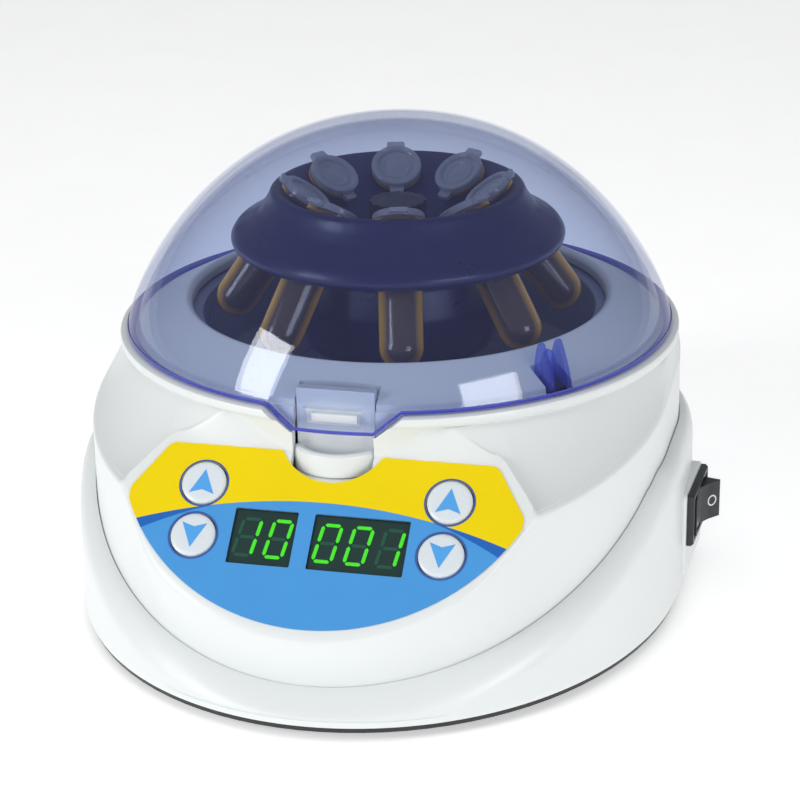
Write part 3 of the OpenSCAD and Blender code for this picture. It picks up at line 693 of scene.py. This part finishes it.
def housing_section(turn):
    """Closed section of the upper housing: wall, slope, neck, collar and deck, then back inside."""
    foot_r, wall_r, wall_z = oval_radius(turn, WALL), rim_radius(turn), edge_height(turn)
    low = ledge_z(-foot_r * cos(turn)) - 2.0
    side = smooth(radians(18), radians(27), from_front(turn))
    neck_r = lerp(NECK_R, CREASE_R - 0.1, side)
    section = [(lerp(foot_r, wall_r, smooth(0, 1, t)), lerp(low, wall_z - 1.0, t))
               for t in (k / 8 for k in range(9))]
    section += [(wall_r - 0.08, wall_z - 0.55), (wall_r - 0.3, wall_z - 0.2)]
    start, mark = wall_r - 0.75, min(max(field_edge(turn), neck_r + 0.9), wall_r - 2.2)
    radii = [lerp(start, mark + 0.6, k / 14) for k in range(15)]
    radii += [mark + d for d in (0.4, 0.2, 0.0, -0.2, -0.4)]
    radii += [lerp(mark - 0.6, neck_r, k / 14) for k in range(15)]
    for radius in radii:
        z = slope_height(turn, radius)
        if radius > wall_r - 1.5:
            z -= 0.12
        section.append((radius, z))
    top = section[-1][1]
    crease = lerp(70.2, CREASE_R, side)
    for k in range(1, 7):
        t = k / 6
        section.append((lerp(neck_r, crease, t ** 2), lerp(top, CREASE_Z + 0.1, t)))
    section += [(lerp(crease, COLLAR_R, 0.6), COLLAR_LOW + 0.15), (COLLAR_R - 0.05, COLLAR_LOW + 0.6),
                (COLLAR_R, COLLAR_LOW + 1.2), (COLLAR_R, COLLAR_TOP - 0.5),
                (COLLAR_R - 0.15, COLLAR_TOP - 0.15), (COLLAR_R - 0.5, COLLAR_TOP),
                (69.9, COLLAR_TOP), (66.5, COLLAR_TOP), (66.1, COLLAR_TOP + 0.3)]
    section += soften(DECK, 0.8, 4, closed=False)
    section += [(56.0, 68.6), (63.8, 64.4), (min(66.4, neck_r - 2.4), 61.0)]
    inner = [lerp(neck_r, wall_r, k / 8) - WALL_T for k in range(9)]
    section += [(r, min(slope_height(turn, r + 1.0) - 2.6, EDGE_TOP)) for r in inner]
    section += [(foot_r - WALL_T, low)]
    return section


def upper_housing():
    shape = Shape()
    sections = [(turn, housing_section(turn)) for turn in housing_turns()]
    shape.rings([[at(turn, r, z) for r, z in section] for turn, section in sections], loop=True)
    # Openings for the latch, the keys and the displays
    knife = Shape()
    knife.block((-LATCH_SLOT / 2, -82, 49.8), (LATCH_SLOT / 2, -60, 80))
    for centre in KEY_SPOTS:
        knife.prism(ring_points(centre, KEY_R + OPENING), -6, 4, place=PANEL)
    for u, width, _ in DISPLAYS.values():
        outline = round_rect(width / 2 + OPENING, DISPLAY_H / 2 + OPENING, 0.5, 3)
        knife.prism([(x + u, y + DISPLAY_V) for x, y in outline], -6, 4, place=PANEL)
    mesh = carve(shape.mesh("upper_housing"), knife.mesh("knife"))
    # Room for the lid's tab in the collar, and the slot for the lid's finger in the deck
    recess = Shape()
    gap, gap_below, back_r = 0.5, 0.4, 67.2
    rings = []
    for x in (-TAB_TOP - gap, -13.0, -TAB_BOTTOM - gap, 0.0, TAB_BOTTOM + gap, 13.0, TAB_TOP + gap):
        t = (abs(x) - gap - TAB_BOTTOM) / (TAB_TOP - TAB_BOTTOM)
        low = max(TAB_Z, lerp(TAB_Z, LID_Z, t)) - gap_below
        back = -sqrt(back_r ** 2 - x * x)
        rings.append([(x, -80, low), (x, back, low), (x, back, 68), (x, -80, 68)])
    recess.rings(rings)
    slot = Matrix.Rotation(LUG_TURN, 4, "Z")
    recess.block((-3.9, -66.6, 61), (3.9, -59.4, 75), place=slot)
    mesh = carve(mesh, recess.mesh("recess"))
    finished("upper_housing_shell", mesh, "cabinet", "housing_plastic", ["upper_housing"], sharp=42)
    lugs = Shape()
    for side in (-1, 1):
        profile = soften([(64.0, 57.5), (71.0, 57.5), (76.3, 63.5), (76.3, 71.1), (71.2, 71.1),
                          (70.4, 65.0), (64.0, 64.6)], 1.6)
        low, high = sorted((side * 22.4, side * 27.0))
        lugs.rings([[(x, y, z) for y, z in profile] for x in (low, high)])
    finished("hinge_lugs", lugs.mesh("hinge_lugs"), "cabinet", "housing_plastic", bevel=0.5)
    boss = Shape()
    rings = []
    for radius, z in ((13.6, 34), (13.0, 42), (12.6, 47), (12.4, 49.2), (12.1, 49.8), (11.6, 50)):
        front = [(x, y, z) for x, y in arc((0, BOSS_Y), radius, 180, 360, 48)]
        rings.append(front + [(11, BOSS_Y + 1, z), (-11, BOSS_Y + 1, z)])
    boss.rings(rings)
    finished("latch_boss", boss.mesh("latch_boss"), "cabinet", "housing_plastic")


def lower_housing():
    """The skirt with its rolled shoulder, and openings for the switch and the inlet."""
    shape = Shape()
    turns = [2 * pi * k / 300 for k in range(300)]
    rise = 5.5
    rings = []
    for turn in turns:
        outer, inner = oval_radius(turn, SKIRT), oval_radius(turn, WALL)
        step = outer - inner
        flat = ledge_z(-outer * cos(turn))
        section = [(outer - 1.2, SKIRT_Z), (outer - 0.3, SKIRT_Z + 0.4), (outer, SKIRT_Z + 1.2)]
        foot = max(flat - rise, SKIRT_Z + 2.2)
        section += [(outer - 0.25 * k / 5, lerp(SKIRT_Z + 2.0, foot, k / 5)) for k in range(6)]
        for k in range(1, 13):
            a = pi / 2 * k / 12
            radius = outer - 0.25 - (step - 0.6) * (1 - cos(a))
            top = ledge_z(-radius * cos(turn))
            section.append((radius, lerp(foot, top, sin(a))))
        section += [(inner + 0.2, section[-1][1] - 0.15), (inner + 0.1, section[-1][1] - 1.0),
                    (outer - 2.6 - step * 0.5, foot - 1.5), (outer - 2.4, SKIRT_Z + 0.8),
                    (outer - 2.4, SKIRT_Z)]
        rings.append([at(turn, r, z) for r, z in section])
    shape.rings(rings, loop=True)
    knife = Shape()
    knife.block((-9.9, FRAME_RISE - 6.6, -12), (9.9, FRAME_RISE + 6.6, 30), place=SWITCH)
    knife.block((-13.8, -10.3, -12), (13.8, 10.3, 30), place=INLET)
    mesh = carve(shape.mesh("lower_housing"), knife.mesh("knife"))
    finished("lower_housing_shell", mesh, "cabinet", "housing_plastic", ["lower_housing"], sharp=42)


def feet():
    """A ring of round nubs on a thin band."""
    shape = Shape()
    middle_y, reach = -15.3, 82.3
    nub = soften([(0, 0), (3.3, 0), (3.4, 0.8), (3.1, 1.7), (0, 1.7)], 0.35)
    nub = [(0.0, 0.0)] + [p for p in nub if p[0] > 0.2] + [(0.0, 1.7)]
    for k in range(24):
        a = radians(15 * k)
        spot = Matrix.Translation(((SKIRT[0] - 9) * sin(a), middle_y - reach * cos(a), 0))
        shape.lathe(nub, 32, place=spot)
    rings = []
    for k in range(180):
        turn = 2 * pi * k / 180
        outer = oval_radius(turn, SKIRT) - 5
        rings.append([at(turn, r, z) for r, z in ((outer, 1.45), (outer, 2.2), (outer - 7.5, 2.2),
                                                   (outer - 7.5, 1.45))])
    shape.rings(rings, loop=True)
    finished("foot_ring_rubber", shape.mesh("foot_ring"), "cabinet", "foot_rubber", ["foot_ring"])


def bowl():
    shape = Shape()
    profile = [(5, 48.2), (45, 48), (48.5, 52), (51.4, 67.0), (54.3, 67.3), (54.3, 68.7),
               (50.2, 68.7), (46.9, 53), (44.3, 50.2), (30, 50), (29, 50.8), (28, 50), (9, 50),
               (8.4, 52), (5, 52)]
    shape.lathe(soften(profile, 0.7), 192)
    finished("chamber_bowl_shell", shape.mesh("bowl"), "cabinet", "bowl_plastic", ["chamber_bowl"])


# ---- lid ----
def dome_point(t, radius, rise):
    """Radius and height on the dome, t running from 0 at its rim to pi / 2 at its top."""
    return (radius * cos(t) ** 0.87, LID_Z + rise * sin(t) ** 1.5)


def rim_height(turn):
    """Lower edge of the dome: level, but for the tab in front."""
    x = abs(LID_R * sin(turn))
    if cos(turn) < 0 or x >= TAB_TOP:
        return LID_Z
    return max(TAB_Z, lerp(TAB_Z, LID_Z, (x - TAB_BOTTOM) / (TAB_TOP - TAB_BOTTOM)))


def lid():
    """The dome with its tab and window, then the hinge arms and the finger."""
    corners = [0.0] + [s * direction((x, -sqrt(LID_R ** 2 - x * x))) for s in (-1, 1) for x in
                       (TAB_TOP, TAB_BOTTOM)]
    turns = sorted(set([2 * pi * k / 180 - pi for k in range(180)] + corners))
    start, steps = radians(4), 46
    angles = [lerp(start, pi / 2, k / steps) for k in range(steps)]
    rings = []
    for turn in turns:
        low = rim_height(turn)
        outer = [(LID_R - 0.5, low), (LID_R - 0.1, low + 0.15), (LID_R, low + 0.5), (LID_R, low + 1.1)]
        outer += [dome_point(t, LID_R, DOME_RISE) for t in angles]
        inner = [dome_point(t, LID_R - DOME_T, DOME_RISE - DOME_T) for t in reversed(angles)]
        inner += [(LID_R - DOME_T, low + 0.5), (LID_R - DOME_T + 0.2, low)]
        middle = [(0.0, 0.0, LID_Z + DOME_RISE), (0.0, 0.0, LID_Z + DOME_RISE - DOME_T)]
        rings.append([at(turn, r, z) for r, z in outer] + middle + [at(turn, r, z) for r, z in inner])
    shape = Shape()
    shape.rings(rings, loop=True)
    # The rim's own faces take a deeper, brighter blue: painted glow of light carried through the clear
    # sheet to its edge
    count = len(rings[0])
    painted_glow_rows = {0, 1, 2, count - 1}
    shape.numbers = [1 if i % count in painted_glow_rows else 0 for i in range(len(shape.numbers))]
    # The tab's bevelled window narrows from its outer face to its inner face
    window_out = [(-7.0, 61.3), (7.0, 61.3), (7.6, 66.4), (-7.6, 66.4)]
    window_in = [(-6.0, 61.9), (6.0, 61.9), (6.4, 65.6), (-6.4, 65.6)]
    knife = Shape()
    knife.rings([[(x, -72.0, z) for x, z in window_out], [(x, -64.0, z) for x, z in window_in]])
    mesh = carve(shape.mesh("lid"), knife.mesh("knife"))
    finished("lid_shell", mesh, "lid", "dome_clear", ["lid_dome"], sharp=45,
             materials=["dome_clear", "dome_rim_painted_glow"])
    arms = Shape()
    for side in (-1, 1):
        low, high = sorted((side * 14.0, side * 22.0))
        arm = soften([(66.0, 66.2), (70.5, 66.0), (HINGE_Y, 65.6), (76.2, 67.4), (76.2, 69.4),
                      (HINGE_Y, 71.0), (68.5, 70.4), (65.6, 70.0)], 1.4)
        arms.rings([[(x, y, z) for y, z in arm] for x in (low, high)])
    finished("lid_hinge_arms", arms.mesh("arms"), "lid", "dome_clear", bevel=0.4, materials=["lug"])
    arch()


def arch():
    """Finger inside the rim: two upright blades joined by a web, standing in a slot of the deck."""
    shape = Shape()
    turn = Matrix.Rotation(LUG_TURN, 4, "Z")
    blade = soften([(-67.2, 65.7), (-66.5, 68.6), (-65.3, 71.8), (-64.0, 74.6), (-62.9, 76.5),
                    (-61.6, 76.0), (-60.6, 73.0), (-60.2, 68.0), (-60.2, 62.5), (-63.0, 62.5),
                    (-64.0, 65.7)], 0.8)
    for side in (-1, 1):
        low, high = sorted((side * 1.9, side * 3.1))
        shape.rings([[(x, y, z) for y, z in blade] for x in (low, high)], place=turn)
    web = [(-1.95, 63.0), (1.95, 63.0), (1.95, 71.5), (1.2, 73.4), (0.0, 74.2), (-1.2, 73.4),
           (-1.95, 71.5)]
    shape.rings([[(x, y, z) for x, z in web] for y in (-62.4, -61.2)], place=turn)
    finished("interlock_finger", shape.mesh("arch"), "lid", "dome_clear", bevel=0.3, materials=["lug"])


# ---- rotor ----
def tube_frame(i):
    """Frame of tube i: its origin at the round end's centre, its z along the tube."""
    return (Matrix.Rotation(FIRST_PLACE + 2 * pi / len(TUBES) * (i - 1), 4, "Z")
            @ Matrix.Translation((0, -TUBE_END_R, TUBE_END_Z)) @ Matrix.Rotation(-TUBE_TILT, 4, "X"))


def rotor():
    shape = Shape()
    profile = [(6.3, 66.2), (6.3, 86.2), (12, 86.4), (29, 99.4), (30.4, 100.3), (31.9, 99.7),
               (33.0, 97.2), (35.0, 94.2), (38.4, 91.8), (41.2, 90.2), (42.5, 88.0), (42.1, 86.2),
               (40.4, 85.3), (37.5, 85.3), (31, 86.6), (25.5, 80.5), (27.2, 72), (24, 59.5),
               (22, 58), (18, 58), (18, 66.2)]
    shape.lathe(soften(profile, 1.1), 192)
    knife = Shape()
    for i in TUBES:
        knife.prism(arc((0, 0), TUBE_R + 0.15, 0, 352.5, 47), 9, 60, place=tube_frame(i))
    mesh = carve(shape.mesh("rotor"), knife.mesh("knife"))
    finished("rotor_body", mesh, "rotor", "rotor_plastic", ["rotor_head"], sharp=50)
    for i in TUBES:
        tube(i)


def tube(i):
    """Microtube i and its snap cap with lip and strap."""
    angles = [radians(9 * k) for k in range(10)]
    bulb = [(TUBE_R * cos(a), -TUBE_R * sin(a)) for a in angles]
    core = [((TUBE_R - 1) * cos(a), -(TUBE_R - 1) * sin(a)) for a in reversed(angles)]
    outer = [(CAP_R, TUBE_LEN + 1), (CAP_R, TUBE_LEN + 0.3), (TUBE_R, TUBE_LEN - 0.2)]
    profile = outer + bulb + [(0.0, -TUBE_R), (0.0, -TUBE_R + 1)] + core + [(TUBE_R - 1, TUBE_LEN + 1)]
    shape = Shape()
    shape.lathe(profile, 48, place=tube_frame(i))
    finished("microtube_%d" % i, shape.mesh("tube"), "rotor", "tube_plastic", ["tube_%d" % i])
    cap = Shape()
    frame_at = tube_frame(i) @ Matrix.Translation((0, 0, TUBE_LEN + 1))
    # Inset from the cap's edge and height, from under the rim to the raised ring on top
    steps = ((0.2, 0.1), (0.0, 0.3), (0.0, 1.7), (0.3, 2.0), (1.2, 2.0), (1.6, 1.7), (1.8, 1.0),
             (2.6, 0.95), (2.9, 1.25), (3.2, 1.25), (3.5, 0.95))
    profile = [(0.0, 0.1)] + [(CAP_R - inset, z) for inset, z in steps]
    cap.lathe(profile + [(1.4, 0.95), (1.0, 1.15), (0.0, 1.15)], 48, place=frame_at)
    lip = soften([(-2.0, CAP_R - 0.6), (2.0, CAP_R - 0.6), (1.7, CAP_R + 1.7), (-1.7, CAP_R + 1.7)], 0.5)
    cap.prism(lip, -0.5, 0.7, place=frame_at)
    strap = soften([(-2.5, -CAP_R + 0.6), (-2.2, -CAP_R - 1.5), (2.2, -CAP_R - 1.5),
                    (2.5, -CAP_R + 0.6)], 0.5)
    cap.prism(strap, 0.4, 1.5, place=frame_at)
    finished("tube_lid_%d" % i, cap.mesh("cap"), "rotor", "cap_plastic", ["tube_cap_%d" % i],
             bevel=0.15)


# ---- controls ----
def flat_piece(name, loops, height, thickness, nodes=(), materials=None):
    """A thin film with holes on the panel: the first loop is its outline."""
    curve = bpy.data.curves.new(name, "CURVE")
    curve.dimensions = "2D"
    curve.fill_mode = "BOTH"
    curve.extrude = thickness / 2
    for loop in loops:
        spline = curve.splines.new("POLY")
        spline.points.add(len(loop) - 1)
        for point, (x, y) in zip(spline.points, loop):
            point.co = (x, y, 0, 1)
        spline.use_cyclic_u = True
    helper = bpy.data.objects.new(name, curve)
    bpy.context.scene.collection.objects.link(helper)
    bpy.context.view_layer.update()
    graph = bpy.context.evaluated_depsgraph_get()
    mesh = bpy.data.meshes.new_from_object(helper.evaluated_get(graph))
    bpy.data.objects.remove(helper)
    shift = Matrix.Translation((0, 0, height + thickness / 2))
    mesh.transform(Matrix.Scale(MM, 4) @ Matrix.Translation((AXIS_X, AXIS_Y, 0)) @ PANEL @ shift)
    close_up(mesh, 1e-6)
    finished(name, mesh, "cabinet", "label_film", nodes, sharp=30, materials=materials)


def label():
    """The printed film with its round notch for the latch, and the ink rings round the keys."""
    top, half_top, half, bottom, bow = 13.4, 39.2, 47.0, -30.6, 52.5
    notch_r, notch_v = 13.4, 19.4
    reach = asin((half - 0.2) / bow)
    sweep = [lerp(reach, -reach, k / 90) for k in range(91)]
    lower = [(bow * sin(a), bottom + bow - bow * cos(a)) for a in sweep]
    dip = atan2(notch_v - top, sqrt(notch_r ** 2 - (notch_v - top) ** 2))
    notch = [(notch_r * cos(a), notch_v + notch_r * sin(a)) for a in
             (lerp(pi + dip, 2 * pi - dip, k / 40) for k in range(41))]
    outline = [(-half, 1.0), (-half_top, top)] + notch + [(half_top, top), (half, 1.0)] + lower
    rounded = soften(outline, 1.6, 5, only=[0, 1, 2, 42, 43, 44])
    holes = [ring_points(centre, KEY_R + OPENING) for centre in KEY_SPOTS]
    for u, width, _ in DISPLAYS.values():
        holes.append([(x + u, y + DISPLAY_V) for x, y in round_rect(width / 2, DISPLAY_H / 2, 0.4, 3)])
    flat_piece("printed_label", [rounded] + holes, 0.02, LABEL_T - 0.04, ["control_label"])
    for u, v in KEY_SPOTS:
        name = "key_ring_%s_%s" % ("left" if u < 0 else "right", "up" if v > 0 else "down")
        loops = [ring_points((u, v), KEY_R + beyond) for beyond in (0.72, 0.31)]
        flat_piece(name, loops, LABEL_T - 0.03, 0.05, materials=["ring"])


def key(name, side, v):
    """A round key cap with a flange and a stem below it and a raised arrow on top."""
    shape = Shape()
    centre = PANEL @ Matrix.Translation((side * KEY_U, v, 0))
    profile = [(0.0, -3.5), (6.2, -3.5), (6.2, -2.9), (KEY_R, -2.85), (KEY_R, 0.35), (KEY_R - 0.12, 0.6),
               (KEY_R - 0.45, KEY_PROUD - 0.08), (KEY_R - 1.0, KEY_PROUD - 0.02), (3.0, KEY_PROUD),
               (0.0, KEY_PROUD)]
    shape.lathe(profile, 72, place=centre)
    tip = 1 if v > 0 else -1
    dart = [(0, 3.3 * tip), (3.0, -2.9 * tip), (0, -1.9 * tip), (-3.0, -2.9 * tip)]
    low, high = KEY_PROUD - 0.05, KEY_PROUD + 0.04
    for half in ([dart[0], dart[2], dart[3]], dart[:3]):
        shape.prism(half, low, high, number=1, place=centre)
    shape.prism(arc((0, 0), 1.6, 0, 345, 23), -4.0, -3.4, place=centre)
    finished(name + "_cap", shape.mesh(name), name.replace("key_", "") + "_button", "key_plastic",
             [name], sharp=30, materials=["key_plastic", "arrow"])


# Ends of each bar of a digit, counted in half heights and widths from the lower left corner
SEGMENTS = {"a": ((0, 2), (1, 2)), "b": ((1, 1), (1, 2)), "c": ((1, 0), (1, 1)), "d": ((0, 0), (1, 0)),
            "e": ((0, 0), (0, 1)), "f": ((0, 1), (0, 2)), "g": ((0, 1), (1, 1))}
LIT = {"0": "abcdef", "1": "bc"}


def display(name):
    """One window with its row of seven-segment digits, lit and unlit."""
    u, width, digits = DISPLAYS[name]
    shape = Shape()
    outline = round_rect(width / 2 - 0.05, DISPLAY_H / 2 - 0.05, 0.4, 3)
    centre = PANEL @ Matrix.Translation((u, DISPLAY_V, 0))
    shape.pillow(outline, -8.7, DISPLAY_TOP + 0.1, 0.15, place=centre)
    digit_w, digit_h, slant, pitch, thick = 4.3, 9.1, 0.14, 7.4, 0.42
    for k, digit in enumerate(digits):
        middle = (k - (len(digits) - 1) / 2) * pitch
        for letter, ends in SEGMENTS.items():
            spots = []
            for x, y in ends:
                up = (y - 1) * digit_h / 2
                spots.append(Vector((middle + (x - 0.5) * digit_w + up * slant, up)))
            along = (spots[1] - spots[0]).normalized()
            side = Vector((-along.y, along.x)) * thick
            a, b = spots[0] + along * 0.28, spots[1] - along * 0.28
            bar = [a, a + along * thick - side, b - along * thick - side, b, b - along * thick + side,
                   a + along * thick + side]
            lit = letter in LIT[digit]
            top = DISPLAY_TOP + (0.17 if lit else 0.15)
            flat = [(p.x, p.y) for p in bar]
            shape.prism(flat, DISPLAY_TOP, top, number=1 if lit else 2, place=centre)
    finished(name + "_module", shape.mesh(name), "cabinet", "display_lens", [name], sharp=30,
             materials=["display_lens", "lit", "dim"])


def latch():
    """The upright lever with its hook, the push tab below it and the barrel on its pin."""
    shape = Shape()
    shape.block((-LATCH_W / 2, LATCH_Y0, 53), (LATCH_W / 2, LATCH_Y0 + 2.4, 69.5))
    shape.block((-5.5, LATCH_Y0 - 1.6, 61.9), (5.5, LATCH_Y0 + 0.2, 64.0))
    # The push tab below is a bowed cup, hollow on top
    outer = arc((0, BOSS_Y), 11.5, 180 + 22, 360 - 22, 40)
    inner = arc((0, BOSS_Y), 9.4, 180 + 27, 360 - 27, 40)
    back = LATCH_Y0 + 0.3
    outer = [(max(min(x, 9.4), -9.4) if y > -66 else x, y) for x, y in outer]
    levels = [(outer, 50.4, 0.0), (outer, 54.6, 0.0), (outer, 55.4, 0.25), (outer, 55.8, 0.8)]
    rings = []
    for points, z, inset in levels:
        scale = 1 - inset / 11.5
        rings.append([(x * scale, BOSS_Y + (y - BOSS_Y) * scale, z) for x, y in points]
                     + [(9.2, back, z), (-9.2, back, z)])
    for z, grow in ((55.7, 0.25), (55.2, 0.05), (53.2, 0.0)):
        scale = 1 + grow / 9.4
        rings.append([(x * scale, BOSS_Y + (y - BOSS_Y) * scale, z) for x, y in inner]
                     + [(8.3, back, z), (-8.3, back, z)])
    shape.rings(rings)
    half = LATCH_W / 2
    shape.lathe(soften([(1.3, -half), (2.4, -half), (2.4, half), (1.3, half)], 0.2), 32,
                place=Matrix.Translation((0, -63, 51)) @ Matrix.Rotation(pi / 2, 4, "Y"))
    finished("latch_lever_body", shape.mesh("latch"), "latch", "housing_plastic", ["latch_lever"],
             bevel=0.25)


# ---- switch and inlet ----
def switch():
    """The wall plate, the black frame in it and the rocker in its rest position."""
    plate = Shape()
    low, high, grow = -2.0, 2.6, 0.5
    outer, inner = round_rect(12.4, 11.1, 1.6), round_rect(9.85, 6.55, 0.5)
    hole = [(x, y + FRAME_RISE) for x, y in inner]
    face = [(x * (1 - grow / 12.4), y * (1 - grow / 11.1), high) for x, y in outer]
    plate.rings([[(x, y, low) for x, y in outer], [(x, y, high - grow) for x, y in outer], face,
                 [(x, y, high) for x, y in hole], [(x, y, low) for x, y in hole]],
                place=SWITCH, loop=True)
    finished("switch_plate_body", plate.mesh("plate"), "cabinet", "housing_plastic", ["switch_plate"])
    bezel = Shape()
    lifted = SWITCH @ Matrix.Translation((0, FRAME_RISE, 0))
    # Half width, half height and depth of each rectangle, from the back round the rim to the hole
    steps = [(9.6, 6.3, -13.9), (9.6, 6.3, 2.65), (10.75, 7.05, 2.65), (10.75, 7.05, 3.7),
             (10.3, 6.6, 4.35), (9.3, 5.7, 4.35), (9.05, 5.45, 4.0), (9.05, 5.45, -3.9)]
    bezel.rings([[(x, y, z) for x, y in round_rect(w, h, 0.6)] for w, h, z in steps], place=lifted)
    finished("switch_frame_body", bezel.mesh("bezel"), "cabinet", "black_plastic", ["switch_frame"])
    rocker = Shape()
    tilt = lifted @ Matrix.Translation((0, 0, 2.0)) @ Matrix.Rotation(-ROCKER_REST, 4, "Y")
    outline = soften([(-7.4, 4.8), (-3.6, 3.1), (0, 2.2), (3.6, 3.1), (7.4, 4.8), (7.1, -1),
                      (2, -4), (-2, -4), (-7.1, -1)], 0.5)
    rocker.rings([[(x, y, z) for x, z in outline] for y in (-5.0, 5.0)], place=tilt)
    rocker.lathe([(0.0, -6.1), (1.15, -6.1), (1.15, 6.1), (0.0, 6.1)], 24,
                 place=tilt @ Matrix.Rotation(pi / 2, 4, "X"))
    # The ring that marks the off side lies along the sloping face
    mark = [(cos(a), sin(a)) for a in (2 * pi * k / 32 for k in range(32))]
    lean = atan2(1.7, 3.8)
    spot = tilt @ Matrix.Translation((4.6, 0, 3.62)) @ Matrix.Rotation(-lean, 4, "Y")
    edges = ((1.5, -0.1), (1.5, 0.08), (1.1, 0.08), (1.1, -0.1))
    rocker.rings([[(x * r, y * r, z) for x, y in mark] for r, z in edges], number=1, place=spot,
                 loop=True)
    finished("rocker_cap", rocker.mesh("rocker"), "rocker", "black_plastic", ["power_rocker"],
             bevel=0.25, materials=["black_plastic", "key_plastic"])


def inlet():
    shape = Shape()
    # Half width, half height and depth of each rectangle, from the back round the flange to the socket
    steps = [(13.3, 9.8, -16.9), (13.3, 9.8, 1.05), (15.95, 11.95, 1.05), (15.95, 11.95, 2.4),
             (15.4, 11.4, 2.95), (12.5, 8.9, 2.95), (12.0, 8.4, 2.5), (12.0, 8.4, -12.9)]
    shape.rings([[(x, y, z) for x, y in round_rect(w, h, 1.2)] for w, h, z in steps], place=INLET)
    finished("inlet_body", shape.mesh("inlet"), "cabinet", "black_plastic", ["mains_inlet"])


# ---- carried-over CAD nodes ----
def dress_cad_nodes():
    """Gives every carried-over node the material of its slot."""
    for entry in frame["record"]["subparts"]:
        node = frame["nodes"][entry["node"]]
        material = MATERIALS[entry["material_slot"]]
        if not node.data.materials:
            node.data.materials.append(material)
        for number in range(len(node.material_slots)):
            node.material_slots[number].material = material


MATERIALS = make_materials()
make_camera()
make_stage()
dress_cad_nodes()
lower_housing()
upper_housing()
feet()
bowl()
label()
for display_name in DISPLAYS:
    display(display_name)
for key_name, key_side, key_v in (("key_speed_up", -1, KEY_V_UP), ("key_speed_down", -1, KEY_V_DOWN),
                                  ("key_time_up", 1, KEY_V_UP), ("key_time_down", 1, KEY_V_DOWN)):
    key(key_name, key_side, key_v)
latch()
lid()
rotor()
switch()
inlet()
